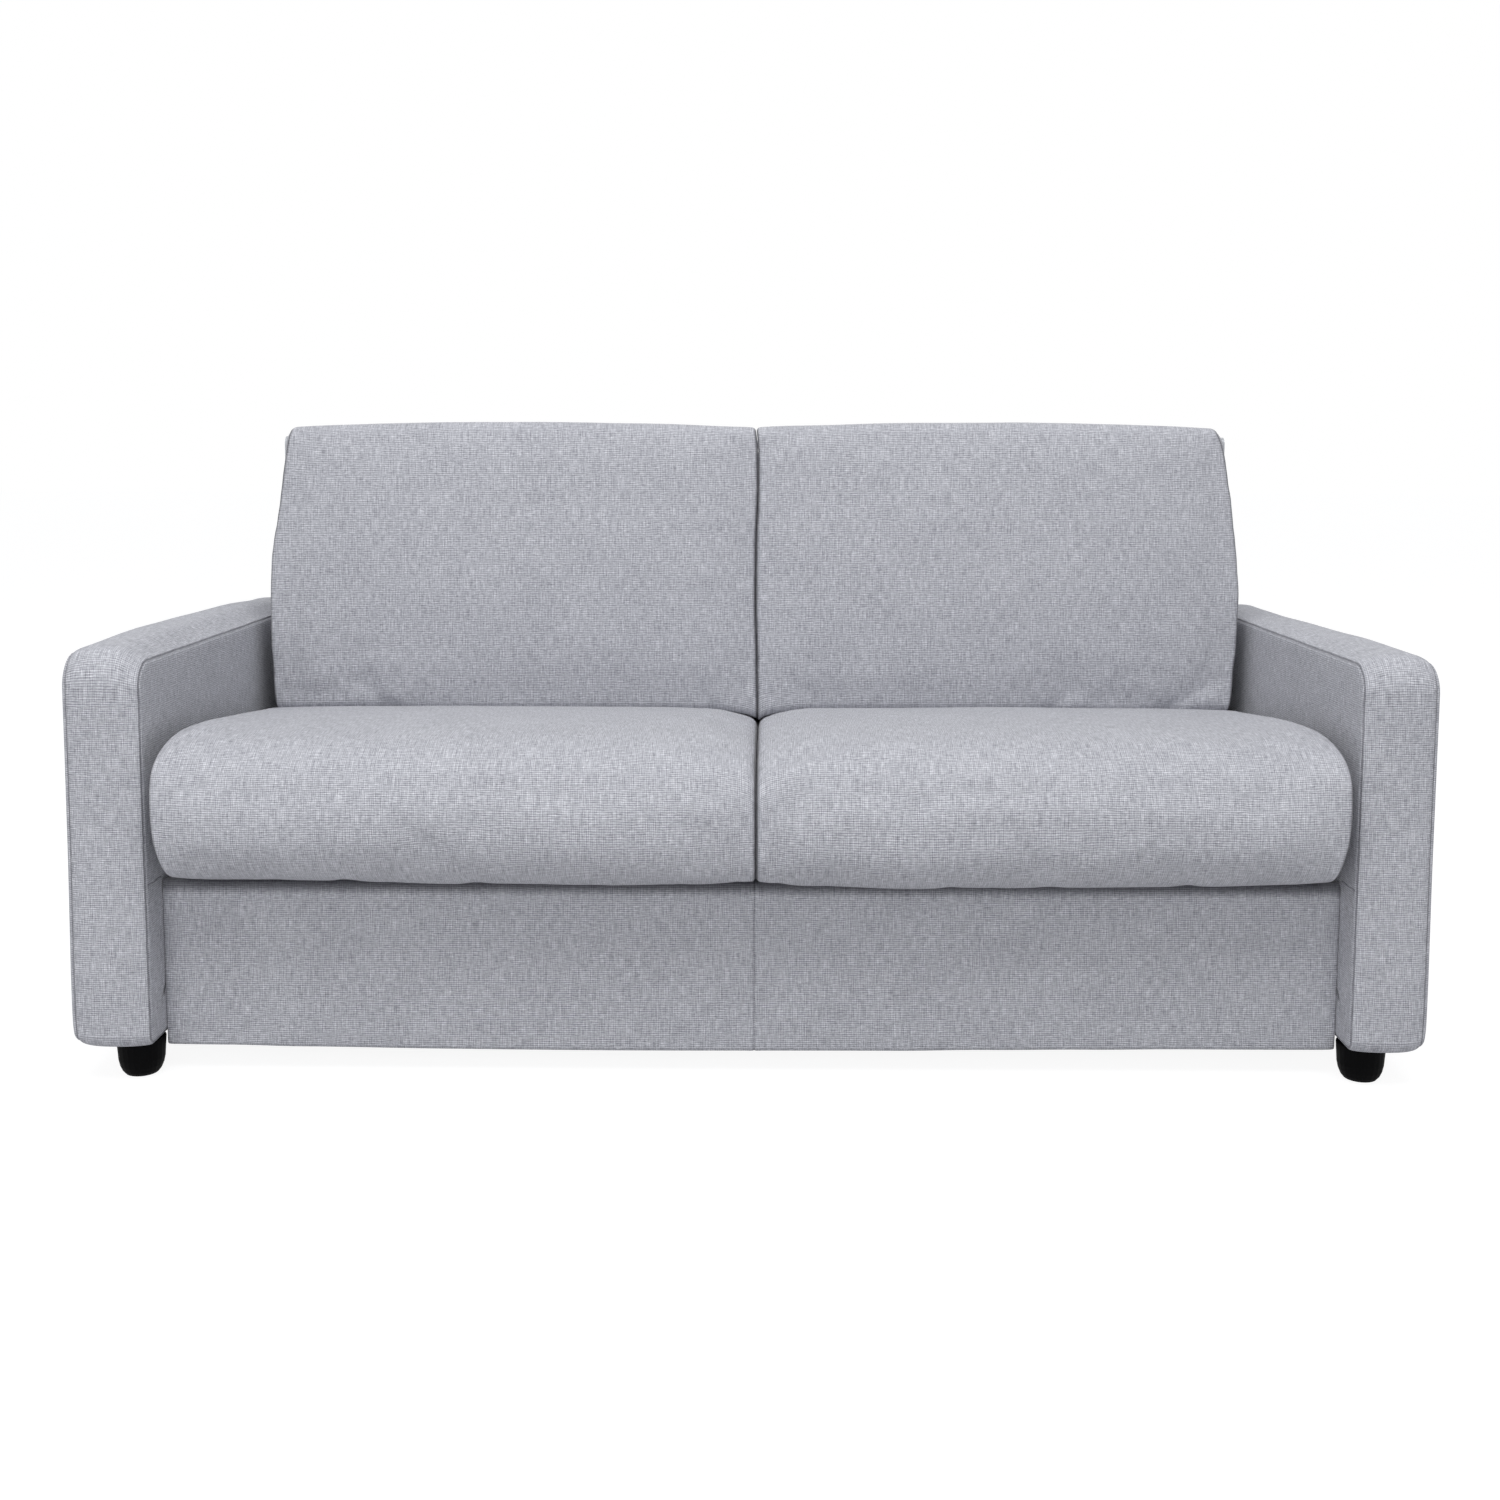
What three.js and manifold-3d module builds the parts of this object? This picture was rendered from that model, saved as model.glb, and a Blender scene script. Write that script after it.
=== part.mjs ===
// Sofa that rolls forward into a double bed, closed as a sofa.
// Millimetres, X to the right, Y to the rear, Z up, standing on Z = 0.
import * as THREE from 'three';
import { mergeVertices } from 'three/addons/utils/BufferGeometryUtils.js';
import Module from 'manifold-3d';

const wasm = await Module();
wasm.setup();

// Fineness
const ROUND_SIDES = 16;
const FOOT_SIDES = 24;

// Fits
const SEAT_GAP = 0.3; // between pieces that touch
const PIN_CLEARANCE = 0.2; // radial, between a pin and its hole
const RUN_GAP = 2; // between pieces that pass each other

// Across: what stands beside the bed's side rails, outwards from their centre line
const MATTRESS_HALF_WIDTH = 800;
const RAIL_OUTSET = 4; // of the rails' centre line from the mattress
const RAIL_X = MATTRESS_HALF_WIDTH + RAIL_OUTSET;
const BESIDE_RAIL = {
  legLug: [-104, -98],
  plateSpacer: [8, 20],
  foldSpacer: [10.8, 20],
  headPlate: [10.8, 17],
  innerPlate: [9, 17],
  outerPlate: [19, 27],
  swingArm: [38, 46],
  cushionEnd: 46,
  leg: [49, 58],
  sidePlate: 64,
  armFace: 71,
};
const fromRail = (places) => places.map((place) => RAIL_X + place);

// Overall
const SOFA_DEPTH = 970;
const REAR_Y = SOFA_DEPTH / 2;
const NOSE_OVERHANG = 50; // seat cushion ahead of the arms
const ARM_FRONT_Y = -REAR_Y + NOSE_OVERHANG;

// Arms
const ARM_INNER_X = RAIL_X + BESIDE_RAIL.armFace;
const ARM_WIDTH = 115;
const ARM_OUTER_X = ARM_INNER_X + ARM_WIDTH;
const ARM_TAPER = 12; // how far the outer side draws in at the foot
const ARM_BOTTOM_Z = 55;
const ARM_TOP_Z = 630;
const ARM_PADDING = 12;
const ARM_BOARD = 16;
const ARM_END_RADIUS = 26;
const ARM_END_BULGE = 5;
const ARM_CORNERS = { innerBottom: 8, outerBottom: 24, outerTop: 24, innerTop: 10 };

// Feet
const FOOT_INSET_Y = 58;
const FOOT_TOP_RADIUS = 36;
const FOOT_X = ARM_INNER_X + FOOT_TOP_RADIUS;
const FOOT_BOWL_RADIUS = 34.5;
const FOOT_BOWL_HEIGHT = 36;
const FOOT_BOWL_STEPS = 5;
const FOOT_SOLE_RADIUS = 19;

// Panels
const PANEL_HALF_WIDTH = ARM_INNER_X - SEAT_GAP;
const PANEL_BOTTOM_Z = 45;
const PANEL_PADDING = 4;
const PANEL_BOARD = 18;
const FRONT_PANEL_RECESS = 64;
const FRONT_PANEL_TOP_Z = 288;
const REAR_PANEL_TOP_Z = 880;
const REAR_PANEL_SETBACK = 20;

// Bed sections: round tube loops with a welded net
const TUBE_RADIUS = 11;
const LOOP_CORNER_RADIUS = 30;
const NET_BAR = 5;
const NET_OFFSET = 6; // from the tube's centre plane towards the mattress
const NET_WELD_SINK = 0.8; // how far crossing bars melt into each other
const NET_LONG_BARS = 13;
const NET_CROSS_BARS = 4;
const MATTRESS_THICKNESS = 100;
const MATTRESS_EDGE_RADIUS = 16;
const MATTRESS_JOINT_GAP = 2; // from a fold to the mattress on either side

const HEAD_TUBE_Z = 61;
const HEAD_MATTRESS_Z = HEAD_TUBE_Z + TUBE_RADIUS + SEAT_GAP;
const FOLD_SETBACK = 115; // behind the arms' front
const REAR_ROOM = 58.7; // between the mattress that stands in the back and the rear of the arms
const BACK_DEPTH = TUBE_RADIUS + SEAT_GAP + MATTRESS_THICKNESS + REAR_ROOM;
const SECTION_LENGTH = REAR_Y - BACK_DEPTH - ARM_FRONT_Y - FOLD_SETBACK; // from fold to knee
const FOLD_Y = ARM_FRONT_Y + FOLD_SETBACK; // hinge between head and seat sections
const FOLD_Z = HEAD_MATTRESS_Z + MATTRESS_THICKNESS + SEAT_GAP;
const SEAT_TUBE_Z = FOLD_Z + (FOLD_Z - HEAD_TUBE_Z);
const KNEE_Y = FOLD_Y + SECTION_LENGTH; // hinge between seat and back sections
const KNEE_Z = SEAT_TUBE_Z;
const HEAD_LOOP_INSETS = [34, 19]; // of the loop's centre line from the fold and the rear end
const SEAT_LOOP_INSETS = [14, 25]; // from the fold and the knee
const BACK_LOOP_INSETS = [25, 6]; // from the knee and the far end
const HEAD_LOOP = { near: FOLD_Y + HEAD_LOOP_INSETS[0], far: KNEE_Y - HEAD_LOOP_INSETS[1] };
const SEAT_LOOP = { near: FOLD_Y + SEAT_LOOP_INSETS[0], far: KNEE_Y - SEAT_LOOP_INSETS[1] };
const BACK_LOOP = {
  near: KNEE_Y + BACK_LOOP_INSETS[0],
  far: KNEE_Y + SECTION_LENGTH - BACK_LOOP_INSETS[1],
};

// Hinge plates, side by side outside the rails
const HEAD_PLATE_X = fromRail(BESIDE_RAIL.headPlate);
const INNER_PLATE_X = fromRail(BESIDE_RAIL.innerPlate);
const OUTER_PLATE_X = fromRail(BESIDE_RAIL.outerPlate);
const PLATE_SPACER_X = fromRail(BESIDE_RAIL.plateSpacer);
const FOLD_SPACER_X = fromRail(BESIDE_RAIL.foldSpacer);
const FOLD_EYE_RADIUS = 13;
const KNEE_EYE_RADIUS = 11;
const PLATE_ROOT_RADIUS = 9;
const HEAD_PLATE_ROOTS = [75, 120]; // from the fold, along the rail
const SEAT_PLATE_ROOTS = [52, 85];
const KNEE_PLATE_ROOT = 90; // from the knee, along the rail
const SPACER_LENGTH = 26;
const SPACER_HEIGHT = 14;
const HINGE_PIN_RADIUS = 6;
const PIN_HEAD_RADIUS = 10;
const PIN_HEAD_THICKNESS = 3;

// Swing arms, a parallelogram that lifts the head section and carries it forward
const SWING_LENGTH = 166.3;
const SWING_REST_DEG = 40; // below level, pointing to the rear
const SWING_DROP = SWING_LENGTH * Math.sin(THREE.MathUtils.degToRad(SWING_REST_DEG));
const SWING_REACH = SWING_LENGTH * Math.cos(THREE.MathUtils.degToRad(SWING_REST_DEG));
const SWING_SETBACK = 215; // behind the arms' front
const SWING_BASE_Y = ARM_FRONT_Y + SWING_SETBACK;
const SWING_REAR_INSET = 345; // of the arms' spacing against a section's length
const SWING_SPACING = SECTION_LENGTH - SWING_REAR_INSET;
const SWING_BASE_Z = HEAD_TUBE_Z + SWING_DROP;
const SWING_X = fromRail(BESIDE_RAIL.swingArm);
const SWING_WIDTH = 28;
const SWING_WAIST = 20;
const SWING_PIN_RADIUS = 6;
const SWING_HEAD_RADIUS = 11;

// Side plates on the arms
const SIDE_PLATE_X = [RAIL_X + BESIDE_RAIL.sidePlate, ARM_INNER_X - SEAT_GAP];
const SIDE_PLATE_Z = [58, 98];
const SIDE_PLATE_ENDS = [125, 55]; // past the front and rear swing pivots
const SIDE_PLATE_YS = [
  SWING_BASE_Y - SIDE_PLATE_ENDS[0],
  SWING_BASE_Y + SWING_SPACING + SIDE_PLATE_ENDS[1],
];
const SIDE_LOBE_RADIUS = 26;
const SIDE_LOBE_ROOT = 44;
const CROSSBAR = 18;
const CROSSBAR_Z = 60;
const BUFFER_RADIUS = 9;
const BUFFER_SHARE = 0.62; // place along the swing arm

// Legs that hang from the back section
const LEG_X = fromRail(BESIDE_RAIL.leg);
const LEG_WIDTH = 28;
const LEG_END_RADIUS = 3;
const LEG_AXLE_RADIUS = 8;
const LEG_LUG_X = fromRail(BESIDE_RAIL.legLug);
const LEG_LUG_RADIUS = 13;
const LEG_FLOOR_GAP = 0.5;
const BED_TUBE_Z = 306; // centre of the tubes with the bed open
const MIDDLE_LEG_ALONG = 50;
const MIDDLE_LEG_OFFSET = 21;
const FOOT_LEG_OVERHANG = 19; // past the section's far end
const FOOT_LEG_ALONG = SECTION_LENGTH + FOOT_LEG_OVERHANG;
const LEG_PAD_HEIGHT = 14;
const LEG_PAD_WIDTH = 38;

// Cushions
const CUSHION_HALF_WIDTH = RAIL_X + BESIDE_RAIL.cushionEnd;
const KNEE_SETBACK = FOLD_SETBACK + SECTION_LENGTH; // behind the arms' front
const AHEAD_OF_KNEE = { seatRear: 60, seatCrownEnd: 210, backFoot: 188, backHead: 146 };
const CUSHION_SPLIT = 2; // from the middle to either cushion
const SEAT_CUSHION_BOTTOM_Z = SEAT_TUBE_Z + TUBE_RADIUS + SEAT_GAP;
const SEAT_NOSE_LIFT = 5.5;
const SEAT_NOSE_END = 70; // behind the arms' front
const SEAT_CUSHION_REAR = KNEE_SETBACK - AHEAD_OF_KNEE.seatRear;
const SEAT_REAR_TOP_Z = 469;
const SEAT_CREST_TOP_Z = 487;
const SEAT_CREST = 110; // behind the arms' front
const SEAT_CROWN = 9;
const SEAT_CROWN_END = KNEE_SETBACK - AHEAD_OF_KNEE.seatCrownEnd;
const SEAT_NOSE_CROWN = 3;
const SEAT_CORNERS = { noseBottom: 28, noseTop: 72, crest: 160, rearTop: 30, rearBottom: 14 };
const BACK_CUSHION_BOTTOM_Z = SEAT_REAR_TOP_Z + SEAT_GAP;
const BACK_CUSHION_TOP_Z = 968;
const BACK_CUSHION_FOOT = KNEE_SETBACK - AHEAD_OF_KNEE.backFoot; // front face at the seat
const BACK_CUSHION_HEAD = KNEE_SETBACK - AHEAD_OF_KNEE.backHead; // and at the top
const BACK_CORNERS = { frontBottom: 40, rearBottom: 18, rearTop: 46, frontTop: 60 };
const BACK_CROWN = 12;
const BACK_BELLY = 10;
const CUSHION_END_RADIUS = 30;
const CUSHION_END_BULGE = 4;

// Booleans
function toSolid(geometry) {
  const bare = geometry.clone();
  bare.deleteAttribute('normal');
  bare.deleteAttribute('uv');
  const merged = mergeVertices(bare);
  const mesh = new wasm.Mesh({
    numProp: 3,
    vertProperties: new Float32Array(merged.attributes.position.array),
    triVerts: new Uint32Array(merged.index.array),
  });
  return new wasm.Manifold(mesh);
}

function toGeometry(solid) {
  const mesh = solid.getMesh();
  const geometry = new THREE.BufferGeometry();
  geometry.setAttribute('position', new THREE.BufferAttribute(new Float32Array(mesh.vertProperties), 3));
  geometry.setIndex(new THREE.BufferAttribute(new Uint32Array(mesh.triVerts), 1));
  return geometry;
}

function join(geometries) {
  return toGeometry(wasm.Manifold.union(geometries.map(toSolid)));
}

function cut(geometry, tools) {
  return toGeometry(toSolid(geometry).subtract(wasm.Manifold.union(tools.map(toSolid))));
}

// Turns a closed mesh the right way out.
function facedOut(geometry) {
  const position = geometry.attributes.position;
  const index = geometry.index.array;
  const a = new THREE.Vector3();
  const b = new THREE.Vector3();
  const c = new THREE.Vector3();
  let volume = 0;
  for (let i = 0; i < index.length; i += 3) {
    a.fromBufferAttribute(position, index[i]);
    b.fromBufferAttribute(position, index[i + 1]);
    c.fromBufferAttribute(position, index[i + 2]);
    volume += a.dot(b.cross(c));
  }
  if (volume < 0) {
    for (let i = 0; i < index.length; i += 3) {
      [index[i + 1], index[i + 2]] = [index[i + 2], index[i + 1]];
    }
  }
  return geometry;
}

function mirrored(geometry) {
  const bare = geometry.clone();
  bare.deleteAttribute('normal');
  bare.deleteAttribute('uv');
  return facedOut(mergeVertices(bare).scale(-1, 1, 1));
}

// Plain bodies
function block([x0, x1], [y0, y1], [z0, z1]) {
  const geometry = new THREE.BoxGeometry(x1 - x0, y1 - y0, z1 - z0);
  return geometry.translate((x0 + x1) / 2, (y0 + y1) / 2, (z0 + z1) / 2);
}

function barAlongX(radius, [x0, x1], y, z) {
  const geometry = new THREE.CylinderGeometry(radius, radius, x1 - x0, ROUND_SIDES);
  return geometry.rotateZ(Math.PI / 2).translate((x0 + x1) / 2, y, z);
}

// A turned piece along X, from steps of [x, radius].
function turnedAlongX(steps, y, z) {
  const ends = [[steps[0][0], 0], ...steps, [steps.at(-1)[0], 0]];
  const profile = ends.map(([x, radius]) => new THREE.Vector2(radius, x));
  const geometry = new THREE.LatheGeometry(profile, ROUND_SIDES).rotateZ(-Math.PI / 2);
  return facedOut(mergeVertices(bareOf(geometry))).translate(0, y, z);
}

// The outline round a set of discs in the YZ plane, as a strap pulled tight.
function strapOutline(discs) {
  const points = discs.flatMap(({ y, z, radius }) => Array.from({ length: ROUND_SIDES }, (_, i) => {
    const angle = (i / ROUND_SIDES) * 2 * Math.PI;
    return [y + radius * Math.cos(angle), z + radius * Math.sin(angle)];
  }));
  points.sort((p, q) => p[0] - q[0] || p[1] - q[1]);
  const turn = (o, p, q) => (p[0] - o[0]) * (q[1] - o[1]) - (p[1] - o[1]) * (q[0] - o[0]);
  const half = (list) => {
    const chain = [];
    for (const point of list) {
      while (chain.length > 1 && turn(chain.at(-2), chain.at(-1), point) <= 0) chain.pop();
      chain.push(point);
    }
    return chain.slice(0, -1);
  };
  return [...half(points), ...half([...points].reverse())];
}

// A flat plate across X with an outline in the YZ plane.
function plate(outline, xs) {
  return extrudedAcross(new THREE.Shape(outline.map(([y, z]) => new THREE.Vector2(y, z))), xs);
}

function extrudedAcross(shape, [x0, x1]) {
  const geometry = new THREE.ExtrudeGeometry(shape, {
    depth: x1 - x0,
    bevelEnabled: false,
    curveSegments: ROUND_SIDES / 2,
  });
  const axes = new THREE.Matrix4().makeBasis(
    new THREE.Vector3(0, 1, 0),
    new THREE.Vector3(0, 0, 1),
    new THREE.Vector3(1, 0, 0),
  );
  return geometry.applyMatrix4(axes).translate(x0, 0, 0);
}

function hole(radius, xs, y, z) {
  const reach = radius;
  return barAlongX(radius + PIN_CLEARANCE, [xs[0] - reach, xs[1] + reach], y, z);
}

// Skins a list of rings of equal length, with a fan of faces over each end.
function skinned(rings, firstCentre, lastCentre) {
  const count = rings[0].length;
  const positions = rings.flat(2);
  const faces = [];
  for (let k = 0; k + 1 < rings.length; k += 1) {
    for (let i = 0; i < count; i += 1) {
      const j = (i + 1) % count;
      const a = k * count + i;
      const b = k * count + j;
      faces.push(a, b, b + count, a, b + count, a + count);
    }
  }
  const first = positions.length / 3;
  positions.push(...firstCentre, ...lastCentre);
  const lastRing = (rings.length - 1) * count;
  for (let i = 0; i < count; i += 1) {
    const j = (i + 1) % count;
    faces.push(first, j, i, first + 1, lastRing + i, lastRing + j);
  }
  const geometry = new THREE.BufferGeometry();
  geometry.setAttribute('position', new THREE.Float32BufferAttribute(positions, 3));
  geometry.setIndex(faces);
  return facedOut(geometry);
}

// A closed outline with rounded corners, each corner given as [a, b, radius].
function roundedOutline(corners, arcSteps, edgeSteps) {
  const points = [];
  const count = corners.length;
  const arcs = corners.map(([a, b, radius], i) => {
    const at = new THREE.Vector2(a, b);
    const before = new THREE.Vector2(...corners[(i + count - 1) % count].slice(0, 2)).sub(at).normalize();
    const after = new THREE.Vector2(...corners[(i + 1) % count].slice(0, 2)).sub(at).normalize();
    const opening = Math.acos(THREE.MathUtils.clamp(before.dot(after), -1, 1));
    const reach = radius / Math.tan(opening / 2);
    const start = at.clone().addScaledVector(before, reach);
    const end = at.clone().addScaledVector(after, reach);
    const middle = before.clone().add(after).normalize();
    const centre = at.clone().addScaledVector(middle, radius / Math.sin(opening / 2));
    return { start, end, centre, radius };
  });
  arcs.forEach(({ start, end, centre, radius }, i) => {
    const from = start.clone().sub(centre).angle();
    let sweep = end.clone().sub(centre).angle() - from;
    if (sweep > Math.PI) sweep -= 2 * Math.PI;
    if (sweep < -Math.PI) sweep += 2 * Math.PI;
    for (let k = 0; k <= arcSteps; k += 1) {
      const angle = from + (sweep * k) / arcSteps;
      points.push([centre.x + radius * Math.cos(angle), centre.y + radius * Math.sin(angle)]);
    }
    const next = arcs[(i + 1) % count].start;
    for (let k = 1; k < edgeSteps; k += 1) {
      const point = end.clone().lerp(next, k / edgeSteps);
      points.push([point.x, point.y]);
    }
  });
  return points;
}

// A padded body: an outline swept along one axis, drawn in round both ends, with crowned end faces.
// place turns (along, a, b) into a point in space.
function paddedForm({ outline, from, to, endRadius, endBulge, endSteps, midSteps, place }) {
  const as = outline.map(([a]) => a);
  const bs = outline.map(([, b]) => b);
  const centre = [(Math.min(...as) + Math.max(...as)) / 2, (Math.min(...bs) + Math.max(...bs)) / 2];
  const half = [(Math.max(...as) - Math.min(...as)) / 2, (Math.max(...bs) - Math.min(...bs)) / 2];
  const low = from + endBulge;
  const high = to - endBulge;
  const stations = [];
  for (let k = 0; k <= endSteps; k += 1) {
    const angle = ((k / endSteps) * Math.PI) / 2;
    const inset = endRadius * (1 - Math.sin(angle));
    stations.push({ along: low + endRadius * (1 - Math.cos(angle)), inset });
  }
  for (let k = 1; k < midSteps; k += 1) {
    const share = k / midSteps;
    stations.push({ along: low + endRadius + share * (high - low - 2 * endRadius), inset: 0 });
  }
  for (let k = endSteps; k >= 0; k -= 1) {
    const twin = stations[k];
    stations.push({ along: low + high - twin.along, inset: twin.inset });
  }
  const ring = (along, inset, spread = 1) => outline.map(([a, b]) => place(
    along,
    centre[0] + (a - centre[0]) * spread * (1 - inset / half[0]),
    centre[1] + (b - centre[1]) * spread * (1 - inset / half[1]),
  ));
  const capShare = 0.55;
  const capRise = endBulge * (1 - capShare * capShare);
  const rings = [
    ring(low - capRise, endRadius, capShare),
    ...stations.map(({ along, inset }) => ring(along, inset)),
    ring(high + capRise, endRadius, capShare),
  ];
  return skinned(rings, place(from, ...centre), place(to, ...centre));
}

// Arms
function armCover() {
  const { innerBottom, outerBottom, outerTop, innerTop } = ARM_CORNERS;
  const outline = roundedOutline([
    [ARM_INNER_X, ARM_BOTTOM_Z, innerBottom],
    [ARM_OUTER_X - ARM_TAPER, ARM_BOTTOM_Z, outerBottom],
    [ARM_OUTER_X, ARM_TOP_Z, outerTop],
    [ARM_INNER_X, ARM_TOP_Z, innerTop],
  ], 4, 3);
  const body = paddedForm({
    outline,
    from: ARM_FRONT_Y,
    to: REAR_Y,
    endRadius: ARM_END_RADIUS,
    endBulge: ARM_END_BULGE,
    endSteps: 4,
    midSteps: 3,
    place: (along, a, b) => [a, along, b],
  });
  return cut(body, [armHollow(0, ARM_BOTTOM_Z - ARM_PADDING)]);
}

// The space inside the padding, or a body that fits it with a gap all round.
function armHollow(gap, bottomZ) {
  return block(
    [ARM_INNER_X + ARM_PADDING + gap, ARM_OUTER_X - ARM_TAPER - ARM_PADDING - gap],
    [ARM_FRONT_Y + 2 * ARM_PADDING + gap, REAR_Y - 2 * ARM_PADDING - gap],
    [bottomZ, ARM_TOP_Z - ARM_PADDING - gap],
  );
}

function armFrame() {
  const outer = armHollow(SEAT_GAP, ARM_BOTTOM_Z + ARM_BOARD + SEAT_GAP);
  const wall = ARM_BOARD + SEAT_GAP;
  const inner = block(
    [ARM_INNER_X + ARM_PADDING + wall, ARM_OUTER_X - ARM_TAPER - ARM_PADDING - wall],
    [ARM_FRONT_Y + 2 * ARM_PADDING + wall, REAR_Y - 2 * ARM_PADDING - wall],
    [ARM_BOTTOM_Z, ARM_TOP_Z - ARM_PADDING - wall],
  );
  return cut(outer, [inner]);
}

function armBaseBoard() {
  return block(
    [ARM_INNER_X + ARM_PADDING + SEAT_GAP, ARM_OUTER_X - ARM_TAPER - ARM_PADDING - SEAT_GAP],
    [ARM_FRONT_Y + 2 * ARM_PADDING + SEAT_GAP, REAR_Y - 2 * ARM_PADDING - SEAT_GAP],
    [ARM_BOTTOM_Z, ARM_BOTTOM_Z + ARM_BOARD],
  );
}

function foot(y) {
  const top = ARM_BOTTOM_Z - SEAT_GAP;
  const bowl = Array.from({ length: FOOT_BOWL_STEPS + 1 }, (_, step) => {
    const angle = (step / FOOT_BOWL_STEPS) * (Math.PI / 2);
    return [
      FOOT_SOLE_RADIUS + (FOOT_BOWL_RADIUS - FOOT_SOLE_RADIUS) * Math.sin(angle),
      FOOT_BOWL_HEIGHT * (1 - Math.cos(angle)),
    ];
  });
  const profile = [[0, 0], ...bowl, [FOOT_TOP_RADIUS, top], [0, top]].map(([radius, z]) => new THREE.Vector2(radius, z));
  const geometry = new THREE.LatheGeometry(profile, FOOT_SIDES).rotateX(Math.PI / 2);
  return facedOut(mergeVertices(bareOf(geometry))).translate(FOOT_X, y, 0);
}

function bareOf(geometry) {
  geometry.deleteAttribute('normal');
  geometry.deleteAttribute('uv');
  return geometry;
}

// Panels: a board in a padded cover that is open on its hidden side
function panelPieces(openY, closedY, topZ) {
  const inward = Math.sign(closedY - openY);
  const xs = [-PANEL_HALF_WIDTH, PANEL_HALF_WIDTH];
  const ys = [openY, closedY].sort((a, b) => a - b);
  const inside = (gap, extra) => block(
    [-PANEL_HALF_WIDTH + PANEL_PADDING + gap, PANEL_HALF_WIDTH - PANEL_PADDING - gap],
    [openY - extra * inward, closedY - (PANEL_PADDING + gap) * inward].sort((a, b) => a - b),
    [PANEL_BOTTOM_Z + PANEL_PADDING + gap, topZ - PANEL_PADDING - gap],
  );
  return {
    cover: cut(block(xs, ys, [PANEL_BOTTOM_Z, topZ]), [inside(0, PANEL_PADDING)]),
    board: inside(SEAT_GAP, 0),
  };
}

// Bed sections, built flat with the rails along Y and the tubes' centres at height z
function tubeLoop({ near, far }, z) {
  const outline = roundedOutline([
    [-RAIL_X, near, LOOP_CORNER_RADIUS],
    [RAIL_X, near, LOOP_CORNER_RADIUS],
    [RAIL_X, far, LOOP_CORNER_RADIUS],
    [-RAIL_X, far, LOOP_CORNER_RADIUS],
  ], 3, 1);
  const sides = 10;
  const count = outline.length;
  const positions = [];
  const faces = [];
  outline.forEach(([x, y], i) => {
    const [px, py] = outline[(i + count - 1) % count];
    const [nx, ny] = outline[(i + 1) % count];
    const before = new THREE.Vector2(x - px, y - py).normalize();
    const after = new THREE.Vector2(nx - x, ny - y).normalize();
    const tangent = before.clone().add(after).normalize();
    const stretch = 1 / tangent.dot(before);
    for (let k = 0; k < sides; k += 1) {
      const angle = ((k + 0.5) / sides) * 2 * Math.PI;
      const out = TUBE_RADIUS * Math.cos(angle) * stretch;
      positions.push(x + tangent.y * out, y - tangent.x * out, z + TUBE_RADIUS * Math.sin(angle));
      const a = i * sides + k;
      const b = i * sides + ((k + 1) % sides);
      const c = ((i + 1) % count) * sides + k;
      const d = ((i + 1) % count) * sides + ((k + 1) % sides);
      faces.push(a, b, d, a, d, c);
    }
  });
  const geometry = new THREE.BufferGeometry();
  geometry.setAttribute('position', new THREE.Float32BufferAttribute(positions, 3));
  geometry.setIndex(faces);
  return facedOut(geometry);
}

function net({ near, far }, z, side) {
  const longZ = z + side * NET_OFFSET;
  const crossZ = longZ - side * (NET_BAR - NET_WELD_SINK);
  const half = NET_BAR / 2;
  const bars = [];
  for (let i = 1; i <= NET_LONG_BARS; i += 1) {
    const x = -RAIL_X + (2 * RAIL_X * i) / (NET_LONG_BARS + 1);
    bars.push(block([x - half, x + half], [near, far], [longZ - half, longZ + half]));
  }
  for (let i = 1; i <= NET_CROSS_BARS; i += 1) {
    const y = near + ((far - near) * i) / (NET_CROSS_BARS + 1);
    bars.push(block([-RAIL_X, RAIL_X], [y - half, y + half], [crossZ - half, crossZ + half]));
  }
  return bars;
}

function bothSides(geometries) {
  return geometries.flatMap((geometry) => [geometry, mirrored(geometry)]);
}

function headFrame() {
  return join([tubeLoop(HEAD_LOOP, HEAD_TUBE_Z), ...net(HEAD_LOOP, HEAD_TUBE_Z, 1)]);
}

// A plate from the fold's eye to two roots on a rail.
function foldPlate(rootSetbacks, railZ, xs) {
  const fold = { y: FOLD_Y, z: FOLD_Z, radius: FOLD_EYE_RADIUS };
  const roots = rootSetbacks.map((setback) => ({
    y: FOLD_Y + setback,
    z: railZ,
    radius: PLATE_ROOT_RADIUS,
  }));
  return cut(plate(strapOutline([fold, ...roots]), xs), [
    hole(HINGE_PIN_RADIUS, xs, FOLD_Y, FOLD_Z),
  ]);
}

function headHingePlate() {
  return foldPlate(HEAD_PLATE_ROOTS, HEAD_TUBE_Z, HEAD_PLATE_X);
}

function seatHingePlate() {
  const middle = (SEAT_PLATE_ROOTS[0] + SEAT_PLATE_ROOTS[1]) / 2;
  return join([
    foldPlate(SEAT_PLATE_ROOTS, SEAT_TUBE_Z, OUTER_PLATE_X),
    spacer(FOLD_SPACER_X, FOLD_Y + middle, SEAT_TUBE_Z),
  ]);
}

function seatFrame() {
  const knee = { y: KNEE_Y, z: KNEE_Z, radius: KNEE_EYE_RADIUS };
  const kneeRoot = { y: KNEE_Y - KNEE_PLATE_ROOT, z: KNEE_Z, radius: PLATE_ROOT_RADIUS };
  const kneePlate = cut(plate(strapOutline([knee, kneeRoot]), INNER_PLATE_X), [
    hole(HINGE_PIN_RADIUS, INNER_PLATE_X, KNEE_Y, KNEE_Z),
  ]);
  const flat = [tubeLoop(SEAT_LOOP, SEAT_TUBE_Z), ...net(SEAT_LOOP, SEAT_TUBE_Z, -1)];
  return join([...flat, ...bothSides([kneePlate])]);
}

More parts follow.
